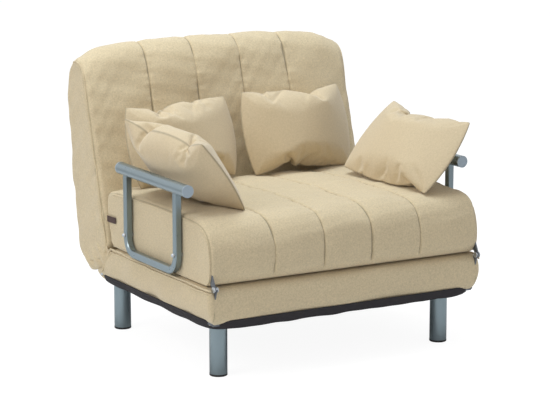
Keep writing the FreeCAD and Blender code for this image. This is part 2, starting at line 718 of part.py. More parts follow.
def ratchets():
    for name, side in SIDES.items():
        ratchet_sector(name, side)
        ratchet_arm(name, side)
        pawl(name, side)
    pins = [headed_pin(side, "dims.frame_half", PIVOT_Y, PIVOT_Z, False) for side in SIDES.values()]
    node(group(*pins), "recline_pins")
    pawl_hardware()


# Where the sections of a padded panel stand, as shares of the way from channel to channel.
PANEL_SHARES = [0, 0.12, 0.3, 0.5, 0.7, 0.88]

# Seat section: frame, slats, cushion with sewn channels, and the pad that is the bed's surface when folded out.

SEAT_CROSS = ["dims.frame_front_y + 5", "-130", "dims.seat_frame_rear_y - dims.tube"]
SEAT_SLATS = ["-350", "-240", "-60", "50"]


def bolt_holes(rails):
    """Drills the armrest bolts' holes through the side rails."""
    drilled = []
    for side, item in zip((-1, 1), rails):
        x = f"({MOVING_HALF}) - dims.tube - 1" if side > 0 else f"-({MOVING_HALF}) - 1"
        drills = [cylinder(x, y, "dims.bolt_z", "dims.bolt_hole", "dims.tube + 2")
                  for y in ("dims.arm_front_y", "dims.arm_rear_y")]
        drilled.append(cut(item, group(*drills)))
    return drilled


def seat_frame():
    rails = bolt_holes(side_rails(MOVING_HALF, "dims.frame_front_y", "dims.seat_frame_rear_y", "dims.seat_frame_z"))
    rails += [cross_rail(MOVING_HALF, y, "dims.seat_frame_z") for y in SEAT_CROSS]
    node(group(*rails), "seat_frame")
    node(group(*slats(MOVING_HALF, SEAT_SLATS, "dims.seat_frame_z")), "seat_slats")


def seat_profile(body, x, inset):
    """Side view of the seat section at a station across it; inset draws it in."""
    sketch = new_sketch(body, "YZ_Plane", x)
    low = "dims.hinge_z + dims.fold_gap"
    return outline(sketch, [
        (f"dims.seat_front_y + {inset} * 0.5", low),
        (f"dims.seat_nose_y + {inset}", f"dims.seat_nose_z - {inset} * 0.3"),
        (f"dims.seat_top_y + {inset} * 0.4", f"dims.seat_top_z - {inset}"),
        (f"dims.seat_rear_top_y - {inset} * 0.4", f"dims.seat_rear_top_z - {inset} * 0.9"),
        ("dims.seat_rear_low_y", low)],
        {0: ("dims.seat_front_radius", 1), 1: ("dims.seat_nose_radius", 1), 2: ("dims.seat_crown_radius", 1)})


def quilted(body, profile, half, edges):
    """Five crowned panels between four sewn channels, with rounded sides, as one ruled loft from side to side."""
    near, far, side = "dims.seam_near", "dims.seam_far", f"({half} - {edges[0][0]})"
    stations = {}
    for low, high, depth_high in (("0", near, 1), (near, far, 1), (far, side, 0)):
        for share in PANEL_SHARES:
            x = f"({low} + ({high} - {low}) * {share})"
            if low == "0":
                drop = share ** 2
            elif depth_high:
                drop = (2 * share - 1) ** 2
            else:
                drop = (1 - share) ** 2
            stations[x] = f"(dims.seam_depth * {round(drop, 4)})"
    right = [(x, inset) for x, inset in stations.items()][1:]
    right += [(f"({half} - {dx})", inset) for dx, inset in edges]
    left = [profile(body, f"-{x}", inset) for x, inset in reversed(right)]
    middle = [profile(body, "0", "0")]
    loft(body, left + middle + [profile(body, x, inset) for x, inset in right], ruled=True)


SEAT_EDGES = [("14", "2"), ("8", "5"), ("3", "10"), ("0", "18")]


def seat_cushion():
    body = new_body("seat_cushion")
    quilted(body, seat_profile, "dims.seat_side_pad", SEAT_EDGES)
    cavity = new_sketch(body, "XY_Plane", SEAT_CAVITY)
    rectangle(cavity, f"-({MOVING_HALF}) - dims.ease", "dims.frame_front_y - dims.ease",
              f"({MOVING_HALF}) + dims.ease", "dims.seat_frame_rear_y + dims.ease")
    pocket(body, cavity, "100")
    for side in SIDES.values():
        hinge_slot(body, side, "dims.hinge_z - 30", SEAT_CAVITY)
        holes = new_sketch(body, "YZ_Plane", "dims.half_width + 10" if side > 0 else "-dims.frame_half")
        for y in ("dims.arm_front_y", "dims.arm_rear_y"):
            circle(holes, y, "dims.bolt_z", "dims.spacer_radius + dims.ease")
        pocket(body, holes, "dims.half_width + 10 - dims.frame_half")
    node(body, "seat_cushion")


def sleeping_pad():
    body = new_body("sleeping_pad")
    sketch = new_sketch(body, "XY_Plane", "dims.hinge_z + dims.fold_gap")
    rectangle(sketch, "-dims.frame_half + 1", "dims.frame_front_y", "dims.frame_half - 1",
              "dims.seat_frame_rear_y")
    pad(body, sketch, "dims.seat_frame_z - dims.hinge_z - dims.fold_gap")
    node(body, "sleeping_pad")


# Armrests: a U of square tube bolted to the seat frame, under a round bar with end caps.


def loop_path(body, x):
    """The middle line of a loop, down the front stem, along and up the rear stem."""
    sketch = new_sketch(body, "YZ_Plane", x)
    front, rear, low = "dims.arm_front_y", "dims.arm_rear_y", "dims.arm_low_z"
    top, bend = "dims.bar_z", "dims.arm_bend"
    points = [(front, top), (front, f"{low} + {bend}"), (f"{front} + {bend}", low),
              (f"{rear} - {bend}", low), (rear, f"{low} + {bend}"), (rear, top)]
    return open_path(sketch, points, {1: (bend, -1), 3: (bend, -1)})


def open_path(sketch, corners, bends):
    """Straight runs and bends through corners, left open."""
    points = [Vector(value(x), value(y), 0) for x, y in corners]
    constraints, ties, ends = [], {}, []
    for i, (start, finish) in enumerate(zip(points, points[1:])):
        if i in bends:
            radius, side = bends[i]
            half = (finish - start) * 0.5
            rise = value(radius) - math.sqrt(value(radius) ** 2 - half.Length ** 2)
            left = Vector(-half.y, half.x, 0).normalize()
            sketch.addGeometry(Part.Arc(start, start + half + left * rise * side, finish))
            ends.append((2, 1) if side > 0 else (1, 2))
        else:
            sketch.addGeometry(Part.LineSegment(start, finish))
            ends.append((1, 2))
    for i, (start_end, finish_end) in enumerate(ends):
        pin_point(sketch, i, start_end, *corners[i], constraints, ties)
        if i + 1 < len(ends):
            constraints.append(Sketcher.Constraint("Coincident", i, finish_end, i + 1, ends[i + 1][0]))
        else:
            pin_point(sketch, i, finish_end, *corners[i + 1], constraints, ties)
        if i in bends:
            ties[len(constraints)] = bends[i][0]
            constraints.append(Sketcher.Constraint("Radius", i, value(bends[i][0])))
    add_constraints(sketch, constraints, ties)
    return sketch


def square_section(body, z, x, y, size, corner):
    """The rounded square of a loop's tube, at the top of its front stem."""
    sketch = new_sketch(body, "XY_Plane", z)
    a, b = f"({size}) / 2", f"({corner})"
    flat = [(f"{x} - {a} + {b}", f"{y} - {a}"), (f"{x} + {a} - {b}", f"{y} - {a}"),
            (f"{x} + {a}", f"{y} - {a} + {b}"), (f"{x} + {a}", f"{y} + {a} - {b}"),
            (f"{x} + {a} - {b}", f"{y} + {a}"), (f"{x} - {a} + {b}", f"{y} + {a}"),
            (f"{x} - {a}", f"{y} + {a} - {b}"), (f"{x} - {a}", f"{y} - {a} + {b}")]
    return outline(sketch, flat)


def arm_loop(name, side):
    body = new_body(name + "_arm_loop")
    x = f"{side} * dims.arm_x"
    outer = square_section(body, "dims.bar_z", x, "dims.arm_front_y", "dims.arm_tube", "dims.arm_tube_round")
    pipe(body, "AdditivePipe", outer, loop_path(body, x))
    inner = new_sketch(body, "XY_Plane", "dims.bar_z")
    half = "(dims.arm_tube / 2 - dims.arm_wall)"
    rectangle(inner, f"{x} - {half}", f"dims.arm_front_y - {half}", f"{x} + {half}", f"dims.arm_front_y + {half}")
    pipe(body, "SubtractivePipe", inner, loop_path(body, x))
    cope = new_sketch(body, "XZ_Plane", "-dims.bar_front_y")
    circle(cope, x, "dims.bar_z", "dims.bar_radius")
    pocket(body, cope, "dims.bar_rear_y - dims.bar_front_y")
    above = new_sketch(body, "XY_Plane", "dims.bar_z + 1")
    rectangle(above, f"{x} - 30", "dims.bar_front_y", f"{x} + 30", "dims.bar_rear_y")
    pocket(body, above, "2")
    holes = new_sketch(body, "YZ_Plane", f"{x} + dims.arm_tube / 2 + 1")
    for y in ("dims.arm_front_y", "dims.arm_rear_y"):
        circle(holes, y, "dims.bolt_z", "dims.bolt_hole")
    pocket(body, holes, "dims.arm_tube + 2")
    node(body, name + "_arm_loop")


def arm_bar(name, side):
    x = f"{side} * dims.arm_x"
    tube = ring(x, "dims.bar_front_y + dims.cap", "dims.bar_z", "dims.bar_radius",
                "dims.bar_radius - dims.bar_wall", "dims.bar_rear_y - dims.bar_front_y - 2 * dims.cap", "y")
    node(tube, name + "_arm_bar")


def arm_caps():
    """Flat caps with a plug, at both ends of both bars."""
    caps = []
    plug = "dims.bar_radius - dims.bar_wall - 0.1"
    for side in SIDES.values():
        x = f"{side} * dims.arm_x"
        front = fuse(cylinder(x, "dims.bar_front_y", "dims.bar_z", "dims.bar_radius", "dims.cap", "y"),
                     cylinder(x, "dims.bar_front_y + dims.cap", "dims.bar_z", plug, "dims.cap_plug", "y"))
        rear = fuse(cylinder(x, "dims.bar_rear_y - dims.cap", "dims.bar_z", "dims.bar_radius", "dims.cap", "y"),
                    cylinder(x, "dims.bar_rear_y - dims.cap - dims.cap_plug", "dims.bar_z", plug,
                             "dims.cap_plug", "y"))
        caps += [front, rear]
    node(group(*caps), "arm_end_caps")


def dome(x, y, z, side):
    """A bolt head: a short cylinder that ends in a narrower one."""
    low = "dims.bolt_head * 0.5"
    first = cylinder(x if side > 0 else f"({x}) - {low}", y, z, "dims.bolt_head_radius", low)
    cone = doc.addObject("Part::Cone", "Cone")
    cone.Placement = Placement(Vector(), Rotation(Vector(0, 1, 0), 90 * side))
    bind(cone, Radius1="dims.bolt_head_radius", Radius2="dims.bolt_head_radius * 0.55", Height=low)
    bind(cone, Placement__Base__x=f"({x}) + {side} * {low}", Placement__Base__y=y, Placement__Base__z=z)
    return fuse(first, cone)


def arm_fixings():
    bolts, spacers, nuts = [], [], []
    stem_in = "dims.arm_x - dims.arm_tube / 2"
    stem_out = "dims.arm_x + dims.arm_tube / 2"
    rail_in = f"({MOVING_HALF}) - dims.tube"
    shank_in = f"({rail_in}) - dims.nut - 3"
    for side in SIDES.values():
        for y in ("dims.arm_front_y", "dims.arm_rear_y"):
            shank = cylinder(shank_in if side > 0 else f"-({stem_out})", y, "dims.bolt_z",
                             "dims.bolt_radius", f"({stem_out}) - ({shank_in})")
            bolts.append(fuse(shank, dome(f"{side} * ({stem_out})", y, "dims.bolt_z", side)))
            spacers.append(ring(MOVING_HALF if side > 0 else f"-({stem_in})", y, "dims.bolt_z",
                                "dims.spacer_radius", "dims.bolt_hole", f"({stem_in}) - ({MOVING_HALF})", "x"))
            nuts.append(ring(f"({rail_in}) - dims.nut" if side > 0 else f"-({rail_in})", y, "dims.bolt_z",
                             "dims.nut_radius", "dims.bolt_radius", "dims.nut", "x"))
    node(group(*bolts), "arm_bolts")
    node(group(*spacers), "arm_spacers")
    node(group(*nuts), "arm_nuts")


def side_tab():
    """A folded fabric tab sewn to the left side of the seat section."""
    node(box("-dims.seat_side_pad - dims.tab", "dims.tab_front_y", "dims.tab_low_z",
             "-dims.seat_side_pad", "dims.tab_rear_y", "dims.tab_top_z"), "side_tab")


# Backrest, drawn upright: x across, y as depth behind its face, z along its height.

BACK_CROSS = ["dims.back_frame_low_u", "220", "dims.leg_u - dims.tube / 2", "dims.back_frame_top_u - dims.tube"]
BACK_SLATS = ["60", "140", "285", "375"]


def upright_rail(along, x0, z0, x1, z1):
    return rail(along, x0, "dims.back_frame_w", z0, x1, "dims.back_frame_w + dims.tube", z1)


def back_frame():
    half, inner = MOVING_HALF, f"({MOVING_HALF}) - dims.tube"
    low, high = "dims.back_frame_low_u", "dims.back_frame_top_u"
    rails = [upright_rail("z", f"-({half})", low, f"-({inner})", high),
             upright_rail("z", inner, low, half, high)]
    rails += [upright_rail("x", f"-({inner})", z, inner, f"{z} + dims.tube") for z in BACK_CROSS]
    node(lean_back(group(*rails)), "back_frame")
    depth = "dims.back_frame_w + (dims.tube - dims.slat) / 2"
    boards = [box(f"-({inner})", depth, z, inner, f"{depth} + dims.slat", f"{z} + dims.slat_width")
              for z in BACK_SLATS]
    node(lean_back(group(*boards)), "back_slats")


def back_profile(body, x, inset):
    """Side view of the backrest at a station across it, depth along the sketch's first axis."""
    sketch = new_sketch(body, "YZ_Plane", x)
    fall = f"(8 * (({x}) / dims.seam_far)^2)"
    top = f"dims.back_top - {inset} * 0.8 - {fall}"
    return outline(sketch, [
        (f"{inset}", "0"),
        (f"{inset}", f"dims.back_front_top - {fall}"),
        ("dims.back_top_w", top),
        (f"dims.back_rear_top_w - {inset} * 0.3", f"dims.back_rear_top - {inset} * 0.8 - {fall}"),
        (f"dims.back_rear_low_w - {inset} * 0.3", "dims.back_rear_low"),
        ("dims.back_floor_w", "dims.back_floor"),
        ("dims.back_mitre_w + 1", "dims.back_floor")],
        {1: ("dims.back_top_radius", 1), 2: ("dims.back_cap_radius", 1), 3: ("dims.back_rear_radius", 1)})


BACK_EDGES = [("18", "2"), ("10", "6"), ("4", "13"), ("0", "24")]


def back_mattress():
    body = new_body("back_mattress")
    quilted(body, back_profile, "dims.back_half_width", BACK_EDGES)
    frame_cavity = new_sketch(body, "XY_Plane", "dims.back_frame_top_u + dims.ease")
    rectangle(frame_cavity, "-dims.cavity_half", "dims.back_frame_w - dims.ease", "dims.cavity_half",
              "dims.back_frame_w + dims.tube + dims.panel + 0.6")
    pocket(body, frame_cavity, "dims.back_frame_top_u + 60")
    recess = new_sketch(body, "XZ_Plane", "-(dims.back_frame_w + dims.tube)")
    rectangle(recess, "-dims.recess_half", "-60", "dims.recess_half", "dims.recess_top")
    pocket(body, recess, "120")
    node(lean_back(body), "back_mattress")


def rear_panel():
    """Black fabric board behind the frame, with slots for the folding leg's ears."""
    body = new_body("rear_panel")
    sketch = new_sketch(body, "XZ_Plane", "-(dims.back_frame_w + dims.tube + dims.ease)")
    rectangle(sketch, "-dims.cavity_half + 1", "dims.back_floor + 2", "dims.cavity_half - 1",
              "dims.back_frame_top_u - 1")
    blank = pad(body, sketch, "dims.panel")
    blank.Reversed = True
    slots = new_sketch(body, "XZ_Plane", "-(dims.back_frame_w + dims.tube)")
    for side in SIDES.values():
        ear = f"{side} * (dims.fold_leg_half + dims.fold_leg_radius + 0.3 + dims.ear / 2)"
        rectangle(slots, f"{ear} - dims.ear / 2 - 1", "dims.leg_u - dims.ear_half - 1",
                  f"{ear} + dims.ear / 2 + 1", "dims.leg_u + dims.ear_half + 1")
    pocket(body, slots, "dims.panel + 2")
    node(lean_back(body), "rear_panel")


# Folding rear leg: a U of round tube between two ears on the back frame.

LEG_W = ("(dims.back_frame_w + dims.tube + dims.panel + dims.sleeve + dims.fold_leg_radius"
         " + dims.leg_clear)")
EAR_IN = "(dims.fold_leg_half + dims.fold_leg_radius + 0.3)"
FOLD_LEG = (f"(({degrees('dims.crease_z')} - {LEG_W} - dims.fold_leg_radius - dims.sleeve)"
            " / cos(dims.fold_leg_over * 1deg))")


def leg_ears():
    ears = []
    for side in SIDES.values():
        body = new_body("ear")
        start = EAR_IN if side > 0 else f"-({EAR_IN}) - dims.ear"
        sketch = new_sketch(body, "YZ_Plane", start)
        face, low, high = "dims.back_frame_w + dims.tube", "dims.leg_u - dims.ear_half", "dims.leg_u + dims.ear_half"
        outline(sketch, [(face, low), (LEG_W, low), (LEG_W, high), (face, high)],
                {1: ("dims.ear_half + 0.001", -1)})
        pad(body, sketch, "dims.ear")
        hole = new_sketch(body, "YZ_Plane", f"({start}) + dims.ear")
        circle(hole, LEG_W, "dims.leg_u", "dims.fold_pin_radius + dims.pin_clearance")
        pocket(body, hole, "dims.ear")
        ears.append(body)
    node(lean_back(group(*ears)), "leg_ears")


def fold_leg_path(body):
    sketch = new_sketch(body, "XZ_Plane", f"-{LEG_W}")
    half, bend = "dims.fold_leg_half", "dims.fold_leg_bend"
    top, low = "dims.leg_u + dims.fold_leg_end", f"dims.leg_u - {FOLD_LEG}"
    points = [(f"-{half}", top), (f"-{half}", f"{low} + {bend}"), (f"-{half} + {bend}", low),
              (f"{half} - {bend}", low), (half, f"{low} + {bend}"), (half, top)]
    return open_path(sketch, points, {1: (bend, -1), 3: (bend, -1)})


def fold_leg():
    body = new_body("folding_rear_leg")
    top = "dims.leg_u + dims.fold_leg_end"
    section = new_sketch(body, "XY_Plane", top)
    circle(section, "-dims.fold_leg_half", LEG_W, "dims.fold_leg_radius")
    pipe(body, "AdditivePipe", section, fold_leg_path(body))
    bores = new_sketch(body, "XY_Plane", top)
    for x in ("-dims.fold_leg_half", "dims.fold_leg_half"):
        circle(bores, x, LEG_W, "dims.fold_leg_radius - dims.fold_leg_wall")
    pocket(body, bores, "dims.fold_leg_bore")
    holes = new_sketch(body, "YZ_Plane", f"{EAR_IN} + 1")
    circle(holes, LEG_W, "dims.leg_u", "dims.fold_pin_radius")
    pocket(body, holes, f"2 * ({EAR_IN} + 1)")
    node(lean_back(body), "folding_rear_leg")
    sleeves, pins = [], []
    low = f"dims.leg_u - {FOLD_LEG}"
    for side in SIDES.values():
        x = f"{side} * 100 - dims.sleeve_length / 2"
        sleeves.append(ring(x, LEG_W, low, "dims.fold_leg_radius + dims.sleeve",
                            "dims.fold_leg_radius", "dims.sleeve_length", "x"))
        inner = "dims.fold_leg_half - dims.fold_leg_radius - 1"
        outer = f"{EAR_IN} + dims.ear"
        shank = cylinder(inner if side > 0 else f"-({outer})", LEG_W, "dims.leg_u",
                         "dims.fold_pin_radius", f"({outer}) - ({inner})")
        head = cylinder(outer if side > 0 else f"-({outer}) - 2", LEG_W, "dims.leg_u", "7", "2")
        pins.append(fuse(shank, head))
    node(lean_back(group(*sleeves)), "rear_leg_sleeves")
    node(lean_back(group(*pins)), "rear_leg_pins")


# Pillows: knife-edged bags. Each is what two padded sweeps have in common, one drawn along the pillow's length
# and one along its height, so that on both sides four faces rise from the seam to the crown.

PILLOWS = {
    "back_pillow_left": (395, 245, (-207, 163, 563.2), 9, 0.5, 17),
    "back_pillow_right": (393, 258, (196, 184, 566), 4.6, -0.8, 16),
    "arm_pillow_left": (412, 260, (-362, -143, 561.3), -81, -4, -37),
    "arm_pillow_right": (411, 265, (354, -186, 553.5), -84, -3, 41),
}


def padded_sweep(name, role, span, length):
    """A bar with a pillow's outline across its span: a flat seam, a shoulder and a crown, each round one an arc."""
    body = new_body(name)
    sketch = new_sketch(body, role, f"-{length / 2}")
    seam, crown, end = "dims.pillow_edge / 2", "dims.pillow_thick / 2", f"{span / 2}"
    rise, out = f"({crown} * dims.pillow_rise)", f"({end} * dims.pillow_flank)"
    shoulder = f"1.4 * sqrt(({end} - {out})^2 + ({rise} - {seam})^2)"
    top = f"({out}^2 + ({crown} - {rise})^2) / (2 * ({crown} - {rise}))"
    points = [(end, f"-{seam}"), (end, seam), (out, rise), (f"-{out}", rise), (f"-{end}", seam),
              (f"-{end}", f"-{seam}"), (f"-{out}", f"-{rise}"), (out, f"-{rise}")]
    side = -1
    if role == "YZ_Plane":
        points, side = [(up, across) for across, up in points], 1
    arcs = {i: (shoulder, side) for i in (1, 3, 5, 7)}
    arcs.update({i: (top, side) for i in (2, 6)})
    outline(sketch, points, arcs)
    pad(body, sketch, f"{length}")
    return body


def pillow(name, length, height, middle, yaw, pitch, tilt):
    bag = common(padded_sweep(name + "_along", "XY_Plane", length, height),
                 padded_sweep(name + "_up", "YZ_Plane", height, length))
    turn = Rotation(Vector(0, 0, 1), yaw) * Rotation(Vector(0, 1, 0), -pitch) * Rotation(Vector(1, 0, 0), -tilt)
    bag.Placement = Placement(Vector(*middle), turn)
    node(bag, name)


base_frame()
for leg_name, (leg_side, leg_y) in LEGS.items():
    leg(leg_name, leg_side, leg_y)
feet()
leg_hardware()
dust_cover()
base_mattress()
front_hinges()
ratchets()
seat_frame()
seat_cushion()
sleeping_pad()
for arm_name, arm_side in SIDES.items():
    arm_loop(arm_name, arm_side)
    arm_bar(arm_name, arm_side)
arm_caps()
arm_fixings()
side_tab()
back_frame()
back_mattress()
rear_panel()
leg_ears()
fold_leg()
for pillow_name, pillow_sizes in PILLOWS.items():
    pillow(pillow_name, *pillow_sizes)

doc.recompute()
failed = [thing.Label for thing in doc.Objects if {"Invalid", "Error"} & set(thing.State)]
if failed:
    raise RuntimeError(f"failed features: {failed}")
for thing in nodes:
    if thing.Shape.isNull() or not thing.Shape.isValid() or not thing.Shape.Solids:
        raise RuntimeError(f"{thing.Label} has no valid solid")
os.makedirs("parts", exist_ok=True)
for thing in nodes:
    thing.Shape.exportStep(f"parts/{thing.Label}.step")
print(f"{len(nodes)} sub-parts")
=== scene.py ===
"""Looks of a convertible chair bed: padded covers, pillows, dust covers, metal arms and legs, and the stage.

Everything is in metres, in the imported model's frame: +X to the viewer's right, the sitter faces -Y, +Z up.
"""
import json
import math

import bpy
import numpy as np
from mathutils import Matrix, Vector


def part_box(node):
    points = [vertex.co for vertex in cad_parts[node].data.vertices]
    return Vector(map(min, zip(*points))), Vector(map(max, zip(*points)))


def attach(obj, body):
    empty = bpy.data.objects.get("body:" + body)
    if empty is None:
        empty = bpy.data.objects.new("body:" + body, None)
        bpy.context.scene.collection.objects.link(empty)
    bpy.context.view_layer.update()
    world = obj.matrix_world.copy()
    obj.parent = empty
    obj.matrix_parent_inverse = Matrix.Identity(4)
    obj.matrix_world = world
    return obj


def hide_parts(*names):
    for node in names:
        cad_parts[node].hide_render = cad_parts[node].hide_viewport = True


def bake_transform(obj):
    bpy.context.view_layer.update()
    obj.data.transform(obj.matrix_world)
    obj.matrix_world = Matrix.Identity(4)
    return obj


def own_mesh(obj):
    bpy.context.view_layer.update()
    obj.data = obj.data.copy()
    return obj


bl_info = {
    "name": "Chair bed looks",
    "version": (1, 0, 0),
    "blender": (4, 5, 0),
    "location": "3D View > Sidebar > Chair Bed",
    "description": "Builds the covers, pillows and finishes of a convertible chair bed round its packed frame",
    "category": "Object",
}

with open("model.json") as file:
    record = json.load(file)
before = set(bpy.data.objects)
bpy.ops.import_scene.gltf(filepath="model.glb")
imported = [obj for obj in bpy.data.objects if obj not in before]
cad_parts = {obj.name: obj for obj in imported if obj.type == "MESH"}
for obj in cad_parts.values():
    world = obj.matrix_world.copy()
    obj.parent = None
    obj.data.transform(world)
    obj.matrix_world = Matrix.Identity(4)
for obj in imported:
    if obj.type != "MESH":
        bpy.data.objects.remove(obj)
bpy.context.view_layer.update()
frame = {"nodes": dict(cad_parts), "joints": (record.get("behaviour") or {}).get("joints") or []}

# Places that the covers share, read from the frame or repeated from the part's named sizes.
HINGE_Y, HINGE_Z = next(j for j in frame["joints"] if j["name"] == "seat_flip")["pos_m"][1:]
LEAN = math.radians(15.96)
CREASE = np.array([0.0, 0.1776, 0.2697])
SEAT_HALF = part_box("seat_cushion")[1].x
BACK_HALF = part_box("back_mattress")[1].x
BASE_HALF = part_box("base_mattress")[1].x
SEAM_NEAR, SEAM_FAR = 0.078, 0.238
FOLD_GAP = 0.0006
BASE_LOW = 0.1600


def colour(red, green, blue):
    """A colour written as it looks on screen, from 0 to 255, turned into linear light."""
    c = np.array([red, green, blue]) / 255
    return tuple(np.where(c <= 0.04045, c / 12.92, ((c + 0.055) / 1.055) ** 2.4)) + (1.0,)


# ---- settings ----


def length(name, description, default):
    return bpy.props.FloatProperty(name=name, description=description, default=default, unit="LENGTH")


def tint(name, description, *tone):
    return bpy.props.FloatVectorProperty(
        name=name, description=description, subtype="COLOR", size=4, default=colour(*tone))


class ChairSizes(bpy.types.PropertyGroup):
    """Sizes of the soft forms."""

    crown: length("Crown", "How far a quilted panel rises between its seams", 0.0045)
    groove: length("Seam depth", "Depth of the sewn line between two panels", 0.0042)
    groove_width: length("Seam width", "How far from a seam its groove reaches", 0.0030)
    wrinkle: length("Wrinkles", "Height of the slow waves in the covers", 0.0019)
    pucker: length("Puckers", "Height of the short waves beside a seam", 0.0011)
    stitch: length("Stitch length", "Length of one stitch and of the gap after it", 0.0065)
    pillow_pressure: bpy.props.FloatProperty(
        name="Pillow filling", description="Pressure that the cloth simulation fills a pillow with",
        default=5.0)


class ChairColours(bpy.types.PropertyGroup):
    """Colours of the finishes."""

    cover: tint("Cover", "Beige woven cover", 208, 191, 158)
    pillow: tint("Pillows", "Beige pillow cloth", 204, 186, 154)
    lining: tint("Lining", "Black dust cover and rear panel", 44, 41, 44)
    tab: tint("Tab", "Brown ribbon of the side tab", 74, 53, 48)
    paint: tint("Paint", "Silver paint of the arms and legs", 134, 148, 154)
    cap: tint("Caps", "Plastic end caps of the arm bars", 158, 172, 184)


class ChairView(bpy.types.PropertyGroup):
    """The camera, as it stands in the photograph."""

    azimuth: bpy.props.FloatProperty(
        name="Azimuth", description="Turn of the camera round the chair", subtype="ANGLE",
        default=math.radians(-30.1))
    elevation: bpy.props.FloatProperty(
        name="Elevation", description="Height of the camera as an angle", subtype="ANGLE",
        default=math.radians(11.5))
    distance: bpy.props.FloatProperty(
        name="Distance", description="Camera to target", unit="LENGTH", default=6.465)
    target: bpy.props.FloatVectorProperty(
        name="Target", description="Point that the camera looks at", subtype="TRANSLATION",
        default=(-0.005, -0.034, 0.385))
    lens: bpy.props.FloatProperty(
        name="Lens", description="Focal length on a 36 mm sensor, in mm", default=144.3)


# ---- shader maths ----


class Wire:
    """A socket of a material, on which Python's operators add Math nodes."""

    def __init__(self, finish, socket):
        self.finish = finish
        self.socket = socket

    def math(self, operation, *others):
        return self.finish.add("ShaderNodeMath", {"operation": operation}, dict(enumerate((self,) + others)))

    def __add__(self, other):
        return self.math("ADD", other)

    __radd__ = __add__

    def __mul__(self, other):
        return self.math("MULTIPLY", other)

    __rmul__ = __mul__

    def __sub__(self, other):
        return self.math("SUBTRACT", other)

    def __rsub__(self, other):
        return self.finish.add("ShaderNodeMath", {"operation": "SUBTRACT"}, {0: other, 1: self})

    def __pow__(self, other):
        return self.math("POWER", other)

    def sine(self):
        return self.math("SINE")

    def size(self):
        return self.math("ABSOLUTE")

    def clamped(self):
        return self.math("MINIMUM", 1.0).math("MAXIMUM", 0.0)


class Finish:
    """A material under construction round one Principled shader."""

    def __init__(self, name):
        self.material = bpy.data.materials.new(name)
        self.material.use_nodes = True
        self.tree = self.material.node_tree
        self.shader = self.tree.nodes["Principled BSDF"]

    def add(self, kind, settings=None, inputs=None, output=0):
        """Adds a node: its settings come first, then values or wires for its inputs."""
        node = self.tree.nodes.new(kind)
        for key, setting in (settings or {}).items():
            if key == "stops":
                self.set_stops(node.color_ramp, setting)
            else:
                setattr(node, key, setting)
        for key, item in (inputs or {}).items():
            self.feed(node.inputs[key], item)
        return Wire(self, node.outputs[output])

    def feed(self, socket, item):
        if isinstance(item, Wire):
            self.tree.links.new(item.socket, socket)
        else:
            socket.default_value = item

    @staticmethod
    def set_stops(ramp, stops):
        while len(ramp.elements) < len(stops):
            ramp.elements.new(1.0)
        for element, (position, tone) in zip(ramp.elements, stops):
            element.position = position
            element.color = tone

    def coordinates(self, scale=(1, 1, 1), turn=(0, 0, 0), kind="Object"):
        place = self.add("ShaderNodeTexCoord", output=kind)
        return self.add("ShaderNodeMapping", None, {"Vector": place, "Scale": scale, "Rotation": turn})

    def axis(self, vector, letter):
        return self.add("ShaderNodeSeparateXYZ", None, {"Vector": vector}, output=letter)

    def noise(self, vector, scale, detail=3.0, roughness=0.5):
        return self.add("ShaderNodeTexNoise", None, {
            "Vector": vector, "Scale": scale, "Detail": detail, "Roughness": roughness})

    def mix(self, factor, first, second, blend="MIX"):
        """Colours go through a Mix node, so that they stay colours."""
        return self.add("ShaderNodeMix", {"data_type": "RGBA", "blend_type": blend}, {
            "Factor": factor, 6: first, 7: second}, output=2)

    def bump(self, height, strength, distance, under=None):
        inputs = {"Height": height, "Strength": strength, "Distance": distance}
        if under is not None:
            inputs["Normal"] = under
        return self.add("ShaderNodeBump", None, inputs)

    def finish(self, **sockets):
        """Sets the shader's sockets; an underscore in a name stands for a space."""
        for name, item in sockets.items():
            self.feed(self.shader.inputs[name.replace("_", " ")], item)
        return self.material


def shade(tone, factor):
    """A colour made darker or lighter by a factor."""
    return tuple(min(1.0, c * factor) for c in tone[:3]) + (1.0,)


def woven(name, tone, thread=0.0011, slub=0.10, weave=0.5, sheen=0.25):
    """Plain weave on the piece's own UV map in metres: over-and-under threads are the product of two sine
    waves, slubs are noise stretched along each thread, and the seam attribute darkens the sewn lines with
    painted shade in their grooves."""
    f = Finish(name)
    uv = f.add("ShaderNodeUVMap", {"uv_map": "cloth"})
    turns = math.pi / thread
    over = (f.axis(uv, "X") * turns).sine() * (f.axis(uv, "Y") * turns).sine()
    long_way = f.add("ShaderNodeMapping", None, {"Vector": uv, "Scale": (900.0, 110.0, 1.0)})
    cross_way = f.add("ShaderNodeMapping", None, {"Vector": uv, "Scale": (110.0, 900.0, 1.0)})
    slubs = f.noise(long_way, 1.0, 2.0) + f.noise(cross_way, 1.0, 2.0) - 1.0
    fleck = f.noise(f.coordinates(), 210.0, 4.0, 0.75)
    cloud = f.noise(f.coordinates(), 7.0, 3.0)
    seam = f.add("ShaderNodeAttribute", {"attribute_name": "seam"}, output="Fac")
    light = slubs * slub + (fleck - 0.5) * (slub * 14.0) + (cloud - 0.5) * 0.07 + 0.5 + over * 0.02
    body = f.mix(light.clamped(), shade(tone, 0.68), shade(tone, 1.32))
    warmer = shade((tone[0] * 1.03, tone[1] * 0.98, tone[2] * 0.9), 1.0)
    warmed = f.mix((cloud * 0.25).clamped(), body, warmer)
    # Painted shade: where the seam attribute is set, the cloth is darkened towards a third of its tone, for the
    # shade in the seam grooves.
    shaded_seams = f.mix((seam * 0.62).clamped(), warmed, shade(tone, 0.34))
    fine = f.bump(over * 0.5 + slubs * 0.6, weave, 0.0006)
    soft = f.bump(fleck, 0.25, 0.0006, under=fine)
    rough = (0.82 + (fleck - 0.5) * 0.2).clamped()
    return f.finish(Base_Color=shaded_seams, Roughness=rough, Normal=soft, Sheen_Weight=sheen,
                    Sheen_Roughness=0.5, Specular_IOR_Level=0.28)


def satin_cloth(name, tone):
    """The pillows' smoother cloth: the same weave, finer, with a soft sheen that shows the folds."""
    return woven(name, tone, thread=0.0007, slub=0.055, weave=0.25, sheen=0.35)


